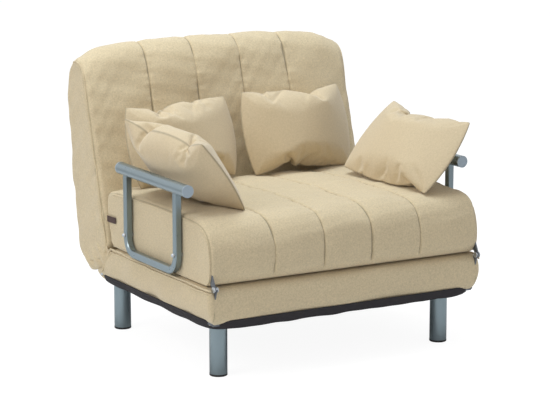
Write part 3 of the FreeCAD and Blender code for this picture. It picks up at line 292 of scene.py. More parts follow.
def felted(name, tone):
    """Black non-woven lining: embossed points in a diamond grid over matted fibres."""
    f = Finish(name)
    uv = f.add("ShaderNodeUVMap", {"uv_map": "cloth"})
    turns = math.pi / 0.0022
    along, across = f.axis(uv, "X") * turns, f.axis(uv, "Y") * turns
    dots = ((along + across).sine() * (along - across).sine()).size() ** 6.0
    fibre = f.noise(f.coordinates(), 900.0, 4.0, 0.7)
    wear = f.noise(f.coordinates(), 11.0, 3.0)
    light = ((fibre - 0.5) * 0.7 + (wear - 0.5) * 0.3 + 0.45 - dots * 0.2).clamped()
    tones = f.mix(light, shade(tone, 0.55), shade(tone, 1.7))
    return f.finish(Base_Color=tones, Roughness=(0.78 + dots * 0.1).clamped(), Specular_IOR_Level=0.3,
                    Normal=f.bump(fibre - dots, 0.5, 0.0005))


def ribbon(name, tone):
    """Ribbed tab: fine ribs across the ribbon's length."""
    f = Finish(name)
    uv = f.add("ShaderNodeUVMap", {"uv_map": "cloth"})
    rib = (f.axis(uv, "X") * (math.pi / 0.0009)).sine()
    fibre = f.noise(f.coordinates(), 700.0, 3.0)
    tones = f.mix((rib * 0.25 + fibre * 0.6).clamped(), shade(tone, 0.7), shade(tone, 1.35))
    return f.finish(Base_Color=tones, Roughness=0.7, Normal=f.bump(rib, 0.4, 0.0003))


def silver_paint(name, tone, metallic=0.85, rough=0.30):
    """Satin silver paint: fine flake, slow orange peel and faint rubbed streaks."""
    f = Finish(name)
    place = f.coordinates()
    flake = f.noise(place, 2400.0, 2.0, 0.6)
    cloud = f.noise(place, 22.0, 3.0)
    streak = f.noise(f.coordinates(scale=(60.0, 4.0, 4.0)), 6.0, 4.0, 0.6)
    light = ((flake - 0.5) * 0.5 + (cloud - 0.5) * 0.25 + 0.5).clamped()
    tones = f.mix(light, shade(tone, 0.9), shade(tone, 1.1))
    worn = (rough + (cloud - 0.5) * 0.12 + (streak - 0.5) * 0.08).clamped()
    return f.finish(Base_Color=tones, Metallic=metallic, Roughness=worn, Coat_Weight=0.15, Coat_Roughness=0.3,
                    Normal=f.bump(cloud, 0.03, 0.0008))


def bare_metal(name, tone, rough=0.34, metallic=0.9):
    """Zinc or steel: a mottled plating, duller in patches."""
    f = Finish(name)
    place = f.coordinates()
    mottle = f.noise(place, 380.0, 4.0, 0.7)
    dull = f.noise(place, 60.0, 3.0)
    tones = f.mix((mottle * 0.8).clamped(), shade(tone, 0.78), shade(tone, 1.15))
    return f.finish(Base_Color=tones, Metallic=metallic, Roughness=(rough + (dull - 0.5) * 0.2).clamped(),
                    Normal=f.bump(mottle, 0.06, 0.0003))


def moulded(name, tone, rough=0.5):
    """Moulded plastic with a fine spark-eroded grain and light scuffs."""
    f = Finish(name)
    place = f.coordinates()
    grain = f.noise(place, 1400.0, 2.0)
    scuff = f.noise(place, 45.0, 5.0, 0.7)
    tones = f.mix((scuff * 0.7 + grain * 0.2).clamped(), shade(tone, 0.85), shade(tone, 1.18))
    return f.finish(Base_Color=tones, Roughness=(rough + (scuff - 0.5) * 0.22).clamped(),
                    Normal=f.bump(grain, 0.18, 0.0003))


def beech(name):
    """Beech slats: rings are sine waves of a stretched, warped distance, with short dark pores."""
    f = Finish(name)
    warp = f.noise(f.coordinates(scale=(2.0, 14.0, 14.0)), 3.0, 4.0)
    ring = (f.axis(f.coordinates(), "Y") * 320.0 + warp * 26.0).sine()
    pore = f.noise(f.coordinates(scale=(6.0, 260.0, 260.0)), 6.0, 2.0)
    light = (ring * 0.22 + 0.5 + (pore - 0.5) * 0.5).clamped()
    tones = f.mix(light, colour(168, 124, 82), colour(212, 172, 126))
    return f.finish(Base_Color=tones, Roughness=(0.5 + pore * 0.15).clamped(),
                    Normal=f.bump(pore, 0.15, 0.0004))


# ---- surfaces ----


def bow(start, end, rise, count):
    """Points from start up to, not including, end on a parabola that stands rise off the straight line, to the
    left of the way: p(t) = start + (end - start) t + 4 rise t (1 - t) left."""
    start, end = np.broadcast_arrays(np.asarray(start, float), np.asarray(end, float))
    t = (np.arange(count) / count)[:, None]
    way = end - start
    left = np.stack([-way[..., 1], way[..., 0]], -1) / np.linalg.norm(way, axis=-1, keepdims=True)
    return start[..., None, :] + way[..., None, :] * t + left[..., None, :] * (4 * rise * t * (1 - t))


def smoothed(rings, sigma):
    """Rounds the corners of closed rings: each point becomes a Gaussian average of its neighbours."""
    reach = int(3 * sigma)
    offsets = np.arange(-reach, reach + 1)
    weights = np.exp(-0.5 * (offsets / sigma) ** 2)
    weights /= weights.sum()
    return sum(w * np.roll(rings, o, axis=1) for o, w in zip(offsets, weights))


def even(rings, count):
    """Spreads the points of closed rings evenly by length, which keeps the quads regular."""
    closed = np.concatenate([rings, rings[:, :1]], 1)
    steps = np.linalg.norm(np.diff(closed, axis=1), axis=-1)
    walked = np.concatenate([np.zeros((len(rings), 1)), np.cumsum(steps, 1)], 1)
    share = np.arange(count) / count
    out = np.empty((len(rings), count, rings.shape[-1]))
    for i, (ring, way) in enumerate(zip(closed, walked)):
        for axis in range(rings.shape[-1]):
            out[i, :, axis] = np.interp(share * way[-1], way, ring[:, axis])
    return out


def ripple(points, height, length, seed):
    """Slow waves: the mean of eight sine waves in set random directions, about one length long."""
    rng = np.random.default_rng(seed)
    total = np.zeros(points.shape[:-1])
    for _ in range(8):
        way = rng.normal(size=3)
        way *= 2 * math.pi / (length * rng.uniform(0.6, 1.5) * np.linalg.norm(way))
        total += np.sin(points @ way + rng.uniform(0, 2 * math.pi))
    return total * height / 2.8


def step(edge0, edge1, value):
    """Rises smoothly from 0 at edge0 to 1 at edge1: 3 t^2 - 2 t^3."""
    t = np.clip((value - edge0) / (edge1 - edge0), 0, 1)
    return t * t * (3 - 2 * t)


def ring_normals(points):
    """Outward normals of a grid that is closed along its second axis, from its central differences."""
    along = np.gradient(points, axis=0)
    around = np.roll(points, -1, axis=1) - np.roll(points, 1, axis=1)
    n = np.cross(along, around)
    return n / np.maximum(np.linalg.norm(n, axis=-1, keepdims=True), 1e-12)


def lean_back(points):
    """From the upright backrest (x, depth, height) to the leaning one: a turn about X at the crease."""
    x, w, u = points[..., 0], points[..., 1], points[..., 2]
    s, c = math.sin(LEAN), math.cos(LEAN)
    return np.stack([x, CREASE[1] + u * s + w * c, CREASE[2] + u * c - w * s], -1)


def upright(points):
    """The way back from lean_back, as (depth behind the backrest's face, height above its crease)."""
    s, c = math.sin(LEAN), math.cos(LEAN)
    d = points - CREASE
    return np.stack([d[:, 1] * c - d[:, 2] * s, d[:, 1] * s + d[:, 2] * c], -1)


def box_uv(points, faces):
    """Lays cloth on each face along the axis that it faces most, in metres."""
    corners = points[faces]
    normal = np.cross(corners[:, 2] - corners[:, 0], corners[:, -1] - corners[:, 1])
    axis = np.abs(normal).argmax(-1)
    pairs = np.array([[1, 2], [0, 2], [0, 1]])[axis]
    return np.take_along_axis(corners, pairs[:, None, :].repeat(corners.shape[1], 1), -1)


def mesh_object(name, points, faces, material, uv=None, seam=None, smooth=True):
    """Makes a piece of whole arrays. faces is a list of arrays, one for each number of corners."""
    mesh = bpy.data.meshes.new(name)
    rows = [row for block in faces for row in block.tolist()]
    mesh.from_pydata(points.tolist(), [], rows)
    coordinates = uv if uv is not None else [box_uv(points, block) for block in faces]
    flat = np.concatenate([block.reshape(-1, 2) for block in coordinates])
    layer = mesh.uv_layers.new(name="cloth")
    layer.data.foreach_set("uv", flat.astype(np.float32).ravel())
    # The seam attribute holds where the cloth shader paints shade along seam grooves.
    if seam is not None:
        mesh.attributes.new("seam", "FLOAT", "POINT").data.foreach_set("value", seam.astype(np.float32).ravel())
    mesh.polygons.foreach_set("use_smooth", np.full(len(rows), smooth))
    mesh.materials.append(material)
    mesh.update()
    piece = bpy.data.objects.new(name, mesh)
    bpy.context.scene.collection.objects.link(piece)
    return piece


def tube_faces(rows, columns, closed=True):
    """Quads of a grid of rows by columns; closed joins the last column to the first."""
    index = np.arange(rows * columns).reshape(rows, columns)
    following = np.roll(index, -1, axis=1) if closed else index[:, 1:]
    here = index if closed else index[:, :-1]
    return np.stack([here[:-1], here[1:], following[1:], following[:-1]], -1).reshape(-1, 4)


def capped(points):
    """A closed grid with its ends fanned to a middle point each. Returns the points and the face arrays."""
    rows, columns = points.shape[:2]
    poles = np.stack([points[0].mean(0), points[-1].mean(0)])
    everything = np.concatenate([points.reshape(-1, 3), poles])
    first = np.arange(columns)
    last = first + (rows - 1) * columns
    start = np.stack([np.roll(first, -1), np.full(columns, rows * columns), first], -1)
    end = np.stack([last, np.full(columns, rows * columns + 1), np.roll(last, -1)], -1)
    return everything, [tube_faces(rows, columns), start, end]


def seam_bounds(seams, edge):
    """Where the panels of a cover meet: the seams of both sides, between its two edges."""
    return np.array([-edge, *sorted([-s for s in seams] + list(seams)), edge])


def panel_stations(seams, edge, count):
    """Places across a cover, crowded towards the seams: x(t) runs with t - sin(2 pi t) / (2 pi) * 0.9."""
    t = np.arange(count) / count
    share = t - 0.9 * np.sin(2 * math.pi * t) / (2 * math.pi)
    bounds = seam_bounds(seams, edge)
    return np.concatenate([a + (b - a) * share for a, b in zip(bounds, bounds[1:])] + [[edge]])


def padded_form(section, half, rounding, sink, seams, centre, columns, extra=()):
    """A padded block: a closed side view swept across, rounded at its sides and closed by shrinking rings.

    section(x, inset) gives the side view, as (depth, height), for arrays of stations. At the sides x runs with
    sin(a) and the inset with 1 - cos(a); each closing ring is drawn to the centre by share^1.15."""
    edge = half - rounding
    middle = np.unique(np.concatenate([panel_stations(seams, edge, 26), extra]))
    angle = np.linspace(0, math.pi / 2, 12)[1:]
    side_x = edge + rounding * np.sin(angle)
    side_inset = sink * (1 - np.cos(angle))
    x = np.concatenate([-side_x[::-1], middle, side_x])
    inset = np.concatenate([side_inset[::-1], np.zeros(len(middle)), side_inset])
    rings = even(smoothed(section(x, inset), 5.0), columns)
    grid = np.concatenate([np.repeat(x[:, None, None], columns, 1), rings], -1)
    shrink = np.linspace(0, 1, 30)[1:-1]
    caps = []
    for end in (grid[0], grid[-1]):
        way = np.array([end[0, 0], *centre]) - end
        caps.append(end[None] + way[None] * shrink[:, None, None] ** 1.15)
    return np.concatenate([caps[0][::-1], grid, caps[1]])


def quilt(grid, seams, edge, sizes, mask):
    """Crowns the panels, presses the sewn lines in and puckers the cloth beside them with waves that fade away
    from the seam. Returns the new grid and how strongly each point is a seam, which the cloth paints as shade."""
    normals = ring_normals(grid)
    x = grid[..., 0]
    bounds = seam_bounds(seams, edge)
    cell = np.clip(np.searchsorted(bounds, x) - 1, 0, len(bounds) - 2)
    low, high = bounds[cell], bounds[cell + 1]
    share = np.clip(2 * (x - low) / (high - low) - 1, -1, 1)
    crown = sizes.crown * (1 - share ** 2)
    crown = np.where(np.abs(x) < edge, crown, 0)
    gap = np.min(np.abs(x[..., None] - np.array([s * g for s in seams for g in (-1, 1)])), -1)
    groove = np.exp(-((gap / sizes.groove_width) ** 2))
    walked = np.arange(grid.shape[1])[None] * np.linalg.norm(grid[:, 1] - grid[:, 0], axis=-1).mean()
    wave = np.sin(2 * math.pi * (walked / 0.026 + 0.7 * np.sin(walked / 0.061 + 3 * x)))
    pucker = sizes.pucker * wave * np.exp(-gap / 0.012) * (1 - groove)
    out = grid + normals * ((crown + pucker - sizes.groove * groove) * mask)[..., None]
    # Mask of painted shade: a narrow band along each seam groove.
    line = np.exp(-((gap / (sizes.groove_width * 0.42)) ** 2)) * mask
    return out, line


def cover(name, grid, body, nodes, seam):
    """Makes a padded cover of a grid, hangs it on its body and hides the parts that it stands in for."""
    points, faces = capped(grid)
    # The seam mask becomes the seam attribute: painted shade along the seam grooves.
    line = np.concatenate([seam.ravel(), [0, 0]])
    piece = mesh_object(name, points, faces, Kit.get("cover"), seam=line)
    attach(piece, body)
    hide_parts(*nodes)


def thicken(piece, thickness, offset=0.0):
    wall = piece.modifiers.new("thickness", "SOLIDIFY")
    wall.thickness = thickness
    wall.offset = offset


def stitches(name, path, normal, sizes, body, width=0.0011):
    """A run of stitches: short flat ovals, one for each stitch length, laid along a path of points."""
    steps = np.linalg.norm(np.diff(path, axis=0), axis=1)
    walked = np.concatenate([[0], np.cumsum(steps)])
    count = int(walked[-1] / sizes.stitch)
    starts = (np.arange(count) + 0.25) * sizes.stitch

    def along(values, at):
        return np.stack([np.interp(at, walked, values[:, k]) for k in range(3)], -1)

    a, b = along(path, starts), along(path, starts + sizes.stitch * 0.68)
    up = along(normal, starts)
    up /= np.linalg.norm(up, axis=1, keepdims=True)
    way = b - a
    side = np.cross(way, up)
    side *= width / np.linalg.norm(side, axis=1, keepdims=True) / 2
    middle = (a + b) / 2
    shape = [(a, 0, 0.0), (middle - way * 0.3, 1, 0.9), (middle - way * 0.3, -1, 0.9), (middle, 0, 1.9),
             (middle + way * 0.3, 1, 0.9), (middle + way * 0.3, -1, 0.9), (b, 0, 0.0)]
    points = np.stack([p + side * s + up * (width * 0.32 * h) for p, s, h in shape], 1)
    block = np.array([[0, 1, 3], [0, 3, 2], [1, 4, 3], [2, 3, 5], [3, 4, 6], [3, 6, 5], [0, 2, 1], [1, 2, 5],
                      [1, 5, 4], [4, 5, 6]])
    faces = (block[None] + 7 * np.arange(count)[:, None, None]).reshape(-1, 3)
    piece = mesh_object(name, points.reshape(-1, 3), [faces], Kit.get("thread"), smooth=False)
    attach(piece, body)


def tube(name, path, radius, body, sides=10):
    """A round cord along a path: at each point a ring of radius r stands square to the way, turned about it from
    one fixed sideways direction."""
    way = np.gradient(path, axis=0)
    way /= np.linalg.norm(way, axis=1, keepdims=True)
    helper = np.broadcast_to(np.array([0.9, 0.31, 0.3]), way.shape)
    side = np.cross(way, helper)
    side /= np.linalg.norm(side, axis=1, keepdims=True)
    up = np.cross(side, way)
    angle = np.arange(sides) * 2 * math.pi / sides
    radii = np.broadcast_to(np.asarray(radius, float), (len(path),))[:, None, None]
    ring = np.cos(angle)[None, :, None] * side[:, None] + np.sin(angle)[None, :, None] * up[:, None]
    points, faces = capped(path[:, None] + radii * ring)
    piece = mesh_object(name, points, faces, Kit.get("cover"))
    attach(piece, body)


def run_along(ring, up, inside):
    """The part of a closed ring that passes a test, with its normals, in order along the ring."""
    start = np.flatnonzero(inside & ~np.roll(inside, 1))[0]
    ring, up, inside = (np.roll(a, -start, axis=0) for a in (ring, up, inside))
    return ring[inside], up[inside]


def welts(label, grid, place, radius, keep, body):
    """A cord on each side of a cover, just proud of the ring nearest to that place, where it passes a test."""
    normals = ring_normals(grid)
    for sign, name in ((-1, "left"), (1, "right")):
        row = np.abs(grid[:, :, 0].mean(1) - sign * place).argmin()
        path, up = run_along(grid[row], normals[row], keep(grid[row]))
        tube(f"{label}_welt_{name}", path + up * 0.0004, radius, body)


def seam_stitches(label, grid, keep, sizes, body):
    """Stitches along the four sewn lines of a cover, where its ring passes a test."""
    normals = ring_normals(grid)
    for i, seam in enumerate((-SEAM_FAR, -SEAM_NEAR, SEAM_NEAR, SEAM_FAR)):
        row = np.abs(grid[:, 0, 0] - seam).argmin()
        path, up = run_along(grid[row], normals[row], keep(grid[row]))
        stitches(f"{label}_stitches_{i + 1}", path, up, sizes, body)


# ---- pieces ----


class Kit:
    """Finishes that several pieces share, made once."""

    made = {}

    @classmethod
    def get(cls, name):
        if name not in cls.made:
            cls.made[name] = cls.build(name)
        return cls.made[name]

    @staticmethod
    def build(name):
        c = bpy.context.scene.chair_colours
        makers = {
            "cover": lambda: woven("cover_weave", c.cover),
            "pillow": lambda: satin_cloth("pillow_cloth", c.pillow),
            "lining": lambda: felted("black_lining", c.lining),
            "tab": lambda: ribbon("brown_ribbon", c.tab),
            "paint": lambda: silver_paint("silver_paint", c.paint),
            "cap": lambda: silver_paint("cap_plastic", c.cap, metallic=0.15, rough=0.42),
            "steel": lambda: bare_metal("frame_steel", colour(108, 112, 118), 0.48, 0.6),
            "zinc": lambda: bare_metal("zinc", colour(196, 200, 205)),
            "plastic": lambda: moulded("black_plastic", colour(34, 34, 36)),
            "beech": lambda: beech("beech_slats"),
            "thread": lambda: moulded("thread", shade(c.cover, 0.50), 0.8),
        }
        return makers[name]()


FINISHES = {
    "paint": ["left_arm_loop", "right_arm_loop", "left_arm_bar", "right_arm_bar", "front_left_leg",
              "front_right_leg", "rear_left_leg", "rear_right_leg"],
    "cap": ["arm_end_caps"],
    "steel": ["base_frame", "seat_frame", "back_frame", "leg_plates", "base_hinge_plate_left",
              "base_hinge_plate_right", "seat_hinge_plate_left", "seat_hinge_plate_right",
              "ratchet_sector_left", "ratchet_sector_right", "ratchet_arm_left", "ratchet_arm_right",
              "ratchet_pawl_left", "ratchet_pawl_right", "pawl_springs", "leg_ears", "folding_rear_leg"],
    "zinc": ["arm_bolts", "arm_spacers", "arm_nuts", "leg_bolts", "front_hinge_pins", "recline_pins",
             "pawl_rivets", "rear_leg_pins"],
    "plastic": ["leg_feet", "rear_leg_sleeves"],
    "beech": ["base_slats", "seat_slats", "back_slats"],
}


def base_section(x, inset):
    """Side view of the base: bulged front, flat top, sloping rear and low border."""
    low, top = BASE_LOW, HINGE_Z - FOLD_GAP
    at = np.zeros_like(x)
    a = np.stack([at + 0.275, at + low], -1)
    b = np.stack([-0.437 + inset, low + at], -1)
    c = np.stack([-0.437 + inset, top - inset], -1)
    d = np.stack([0.170 + at, top - inset], -1)
    e = np.stack([0.228 + at, 0.1925 - inset * 0.3], -1)
    f = np.stack([0.275 - inset * 0.3, 0.1925 - inset * 0.3], -1)
    runs = [bow(a, b, 0, 130), bow(b, c, 0.0055, 40), bow(c, d, 0, 130), bow(d, e, 0, 24), bow(e, f, 0, 12),
            bow(f, a, 0, 8)]
    return np.concatenate(runs, 1)


def seat_section(x, inset):
    """Side view of the seat: bulged front, round nose, crowned top, leaning rear and flat underside."""
    low = HINGE_Z + FOLD_GAP
    at = np.zeros_like(x)
    a = np.stack([0.174 + at, low + inset * 0.25], -1)
    b = np.stack([-0.428 + inset * 0.5, low + inset * 0.25], -1)
    c = np.stack([-0.434 + inset, 0.385 - inset * 0.3], -1)
    d = np.stack([-0.360 + inset * 0.4, 0.444 - inset], -1)
    e = np.stack([0.207 - inset * 0.4, 0.435 - inset * 0.9], -1)
    runs = [bow(a, b, 0, 130), bow(b, c, 0.0080, 30), bow(c, d, 0.0135, 28), bow(d, e, 0.010, 130),
            bow(e, a, 0, 38)]
    return np.concatenate(runs, 1)


def back_section(x, inset):
    """Side view of the upright backrest as (depth, height): straight face, round top, bulged rear, floor."""
    fall = 0.008 * (x / SEAM_FAR) ** 2 + 0.016 * step(0.36, 0.45, np.abs(x))
    at = np.zeros_like(x)
    a = np.stack([inset, at], -1)
    b = np.stack([inset, 0.531 - fall], -1)
    c = np.stack([at + 0.050, 0.618 - inset * 0.8 - fall], -1)
    d = np.stack([0.118 - inset * 0.3, 0.583 - inset * 0.8 - fall], -1)
    e = np.stack([0.198 - inset * 0.3, 0.008 + at], -1)
    f = np.stack([0.156 + at, -0.028 + at], -1)
    g = np.stack([0.038 + at, -0.028 + at], -1)
    runs = [bow(a, b, 0, 120), bow(b, c, 0.0165, 24), bow(c, d, 0.0100, 18), bow(d, e, 0.0135, 125),
            bow(e, f, 0, 12), bow(f, g, 0, 26), bow(g, a, 0, 10)]
    return np.concatenate(runs, 1)


class PieceOperator(bpy.types.Operator):
    """Shared options of the chair bed's operators."""

    bl_options = {"REGISTER", "UNDO"}


class CHAIR_OT_base_cover(PieceOperator):
    """Padded cover of the base, with drawn-in lower corners"""

    bl_idname = "chair.base_cover"
    bl_label = "Base cover"

    def execute(self, context):
        sizes = context.scene.chair_sizes
        grid = padded_form(base_section, BASE_HALF, 0.012, 0.012, (), (-0.05, 0.182), 260)
        x, y, z = grid[..., 0], grid[..., 1], grid[..., 2]
        out = (np.abs(x) / BASE_HALF) ** 10
        belly = np.sin(np.clip((z - 0.168) / 0.102, 0, 1) * math.pi) ** 0.8
        draw = np.clip((0.222 - z) / 0.054, 0, 1) ** 2
        forward = 1 - step(-0.2, 0.2, y)
        grid[..., 0] += np.sign(x) * out * (0.0055 * belly - (0.010 + 0.003 * forward) * draw)
        grid[..., 1] += step(-0.38, -0.437, y) * draw * 0.004
        push = ring_normals(grid) * ripple(grid, sizes.wrinkle * 1.3, 0.13, 11)[..., None]
        push[..., 2] *= step(0.269, 0.262, z)
        grid = grid + push
        grid[..., 1] = np.maximum(grid[..., 1], HINGE_Y + FOLD_GAP)
        grid[..., 2] = np.clip(grid[..., 2], BASE_LOW, HINGE_Z - FOLD_GAP)
        # Painted shade: a dark line down each front corner seam of the base.
        seam = np.exp(-((np.abs(x) - (BASE_HALF - 0.010)) / 0.0012) ** 2) * (y < -0.40) * (z > 0.172)
        cover("base_cover", grid, "base", ["base_mattress"], seam)
        self.hems()
        return {"FINISHED"}

    @staticmethod
    def hems():
        """Two cords on each side below the seat: straight along the top edge, then down the rear slope, with
        slow waves."""
        t = np.linspace(0, 1, 260)
        corner = 0.86
        for side, name in ((-1, "left"), (1, "right")):
            for number, (drop, radius) in enumerate(((0.0035, 0.0030), (0.0115, 0.0026))):
                ahead = np.minimum(t / corner, 1)
                after = np.maximum(t - corner, 0) / (1 - corner)
                y = -0.440 + (0.165 + 0.440) * ahead + 0.062 * after
                z = 0.2685 - drop - 0.070 * after
                x = side * (BASE_HALF + 0.0042 - 0.004 * np.exp(-((y + 0.440) / 0.012) ** 2))
                path = np.stack([x + 0 * t, y, z], -1)
                path[:, 0] += side * ripple(path, 0.0011, 0.09, 60 + number)
                path[:, 2] += ripple(path, 0.0012, 0.11, 70 + number) * step(0.0, 0.1, t)
                path[:, 2] = np.minimum(path[:, 2], 0.2665)
                tube(f"base_hem_{name}_{number + 1}", path, radius, "base")


class CHAIR_OT_seat_cover(PieceOperator):
    """Quilted cover of the seat section, with a round nose and four sewn lines"""

    bl_idname = "chair.seat_cover"
    bl_label = "Seat cover"

    def execute(self, context):
        sizes = context.scene.chair_sizes
        seams = (SEAM_NEAR, SEAM_FAR)
        half, rounding = SEAT_HALF - 0.0015, 0.016
        grid = padded_form(seat_section, half, rounding, 0.019, seams, (-0.12, 0.355), 330)
        edge = half - rounding
        y, z = grid[..., 1], grid[..., 2]
        upper = step(0.285, 0.300, z) * step(0.185, 0.160, y)
        grid, line = quilt(grid, seams, edge, sizes, np.clip(upper, 0, 1))
        x = grid[..., 0]
        normals = ring_normals(grid)
        calm = step(HINGE_Z + 0.004, HINGE_Z + 0.02, grid[..., 2])
        wave = ripple(grid, sizes.wrinkle, 0.16, 5) + ripple(grid, sizes.wrinkle * 0.4, 0.045, 6)
        side = np.abs(x) > edge + 0.012
        wave = np.where(side, -np.abs(wave) * 0.6, wave)
        grid = grid + normals * (wave * calm)[..., None]
        grid[..., 1] = np.maximum(grid[..., 1], HINGE_Y + FOLD_GAP)
        grid[..., 2] = np.maximum(grid[..., 2], HINGE_Z + FOLD_GAP)
        # Painted shade along the side edge seams of the seat, beside the welts, at 0.8 strength.
        rim = np.exp(-((np.abs(x) - (edge + 0.0125)) / 0.0011) ** 2) * step(0.28, 0.29, z)
        cover("seat_cover", grid, "seat", ["seat_cushion", "sleeping_pad"], np.maximum(line, rim * 0.8))
        seam_stitches("seat", grid, lambda p: (p[:, 2] > 0.300) & (p[:, 1] < 0.165), sizes, "seat")
        welts("seat", grid, edge + 0.0140, 0.0021, lambda p: (p[:, 2] > 0.276) & (p[:, 1] < 0.16), "seat")
        return {"FINISHED"}


class CHAIR_OT_back_cover(PieceOperator):
    """Quilted cover of the backrest, hollow behind where the folding leg lies"""

    bl_idname = "chair.back_cover"
    bl_label = "Backrest cover"

    def execute(self, context):
        sizes = context.scene.chair_sizes
        seams = (SEAM_NEAR, SEAM_FAR)
        rim = 0.385
        near_rim = rim + np.linspace(-0.004, 0.020, 13)
        rounding = 0.020
        grid = padded_form(back_section, BACK_HALF, rounding, 0.024, seams, (0.100, 0.26), 380,
                           np.concatenate([near_rim, -near_rim]))
        edge = BACK_HALF - rounding
        w, u = grid[..., 1], grid[..., 2]
        front = step(0.075, 0.055, w) * step(0.03, 0.06, u)
        grid, line = quilt(grid, seams, edge, sizes, front)
        wave = ripple(grid, sizes.wrinkle * 1.1, 0.17, 21) + ripple(grid, sizes.wrinkle * 0.4, 0.05, 22)
        grid = grid + ring_normals(grid) * (wave * step(0.0, 0.05, grid[..., 2]))[..., None]
        x, w, u = grid[..., 0], grid[..., 1], grid[..., 2]
        hollow = step(rim + 0.014, rim, np.abs(x)) * step(0.540, 0.526, u)
        grid[..., 1] = w - np.maximum(0, w - 0.1032) * hollow
        # Painted shade along the side edge seams of the backrest, at 0.8 strength.
        side = np.exp(-((np.abs(x) - (edge + 0.016)) / 0.0012) ** 2)
        edge_seam_shade = side * step(0.07, 0.05, w) * step(0.02, 0.04, u)
        grid = lean_back(grid)
        cover("back_cover", grid, "back", ["back_mattress"], np.maximum(line, edge_seam_shade * 0.8))
        seam_stitches("back", grid, lambda p: (upright(p)[:, 1] > 0.05) & (upright(p)[:, 0] < 0.06), sizes, "back")
        welts("back", grid, edge + 0.0165, 0.0023, self.beside_the_rim, "back")
        return {"FINISHED"}

    @staticmethod
    def beside_the_rim(points):
        """Where the welt runs: up the front edge of the side and over the top."""
        depth, height = upright(points).T
        return (height > 0.012) & ((depth < 0.070) | (height > 0.585))


PILLOWS = {
    "back_pillow_left": {"size": (0.395, 0.245), "turn": (9.0, 0.5, 17.0)},
    "back_pillow_right": {"size": (0.393, 0.258), "turn": (4.6, -0.8, 16.0)},
    "arm_pillow_left": {"size": (0.412, 0.260), "turn": (-81.0, -4.0, -37.0)},
    "arm_pillow_right": {"size": (0.411, 0.265), "turn": (-84.0, -3.0, 41.0)},
}
PILLOW_THICK = 0.132


def pillow_grid(length, height, thick, columns, rows, full=0.0):
    """A flat bag of two sheets: the thickness over each point is thick (1 - s^2)^0.5 (1 - t^2)^0.5 / 2, up on one
    sheet and down on the other. The sheets share their edge points, and full bows the edges out, because the
    filling draws them in."""
    s = np.linspace(-1, 1, columns)
    t = np.linspace(-1, 1, rows)
    a, b = np.meshgrid(s, t, indexing="ij")
    swell = np.sqrt(np.clip(1 - a ** 2, 0, 1) * np.clip(1 - b ** 2, 0, 1))
    flat = np.stack([a * length / 2 * (1 + 0.7 * full * (1 - b ** 2)),
                     b * height / 2 * (1 + 1.45 * full * (1 - a ** 2))], -1)
    top = np.concatenate([flat, (swell * thick / 2)[..., None]], -1)
    low = np.concatenate([flat, (-swell * thick / 2)[..., None]], -1)
    return top, low, flat


def pillow_mesh(name, length, height, thick, material, columns=72, rows=48, full=0.0):
    top, low, flat = pillow_grid(length, height, thick, columns, rows, full)
    index = np.arange(columns * rows).reshape(columns, rows)
    inner = np.zeros((columns, rows), bool)
    inner[1:-1, 1:-1] = True
    under = index.copy()
    under[inner] = columns * rows + np.arange(inner.sum())
    points = np.concatenate([top.reshape(-1, 3), low[inner]])

    def quads(order):
        return np.stack([order[:-1, :-1], order[1:, :-1], order[1:, 1:], order[:-1, 1:]], -1).reshape(-1, 4)

    upper, lower = quads(index), quads(under)[:, ::-1]
    uv_flat = flat.reshape(-1, 2)
    uv_under = np.zeros((len(points), 2))
    uv_under[under.ravel()] = uv_flat
    uv = [np.concatenate([uv_flat[upper.ravel()], uv_under[lower.ravel()] + 0.5]).reshape(-1, 4, 2)]
    # Painted shade along the pillow's edge seam, where its two sheets meet.
    border = np.zeros(len(points))
    border[index[~inner]] = 1.0
    return mesh_object(name, points, [np.concatenate([upper, lower])], material, uv=uv, seam=border)


def inflate(piece, pressure, frames=26, shrink=-0.03, cap=0.09):
    """Fills a bag by cloth simulation without gravity, then moves each point by at most cap."""
    scene = bpy.context.scene
    rest = np.array([v.co for v in piece.data.vertices])
    modifier = piece.modifiers.new("filling", "CLOTH")
    cloth = modifier.settings
    cloth.quality = 6
    cloth.mass = 0.18
    cloth.tension_stiffness = 26
    cloth.compression_stiffness = 26
    cloth.shear_stiffness = 6
    cloth.bending_stiffness = 0.16
    cloth.air_damping = 3.0
    cloth.use_pressure = True
    cloth.uniform_pressure_force = pressure
    cloth.shrink_min = shrink
    cloth.effector_weights.gravity = 0.0
    modifier.collision_settings.use_collision = False
    modifier.point_cache.frame_start = 1
    modifier.point_cache.frame_end = frames
    for number in range(1, frames + 1):
        scene.frame_set(number)
    shaped = piece.evaluated_get(bpy.context.evaluated_depsgraph_get())
    moved = np.array([v.co for v in shaped.data.vertices])
    piece.modifiers.remove(modifier)
    scene.frame_set(1)
    way = moved - rest
    far = np.linalg.norm(way, axis=1, keepdims=True)
    return rest + way * np.minimum(1, cap / np.maximum(far, 1e-9))


def pillow_pose(points, middle, turn):
    """Turns about X by tilt, then about Y by pitch, then about Z by yaw, and moves to the middle."""
    yaw, pitch, tilt = (math.radians(a) for a in turn)
    x, y, z = points[:, 0], points[:, 2], points[:, 1]
    y = -y
    c, s = math.cos(-tilt), math.sin(-tilt)
    y, z = y * c - z * s, y * s + z * c
    c, s = math.cos(-pitch), math.sin(-pitch)
    x, z = x * c + z * s, -x * s + z * c
    c, s = math.cos(yaw), math.sin(yaw)
    x, y = x * c - y * s, x * s + y * c
    return np.stack([x, y, z], -1) + np.array(middle)


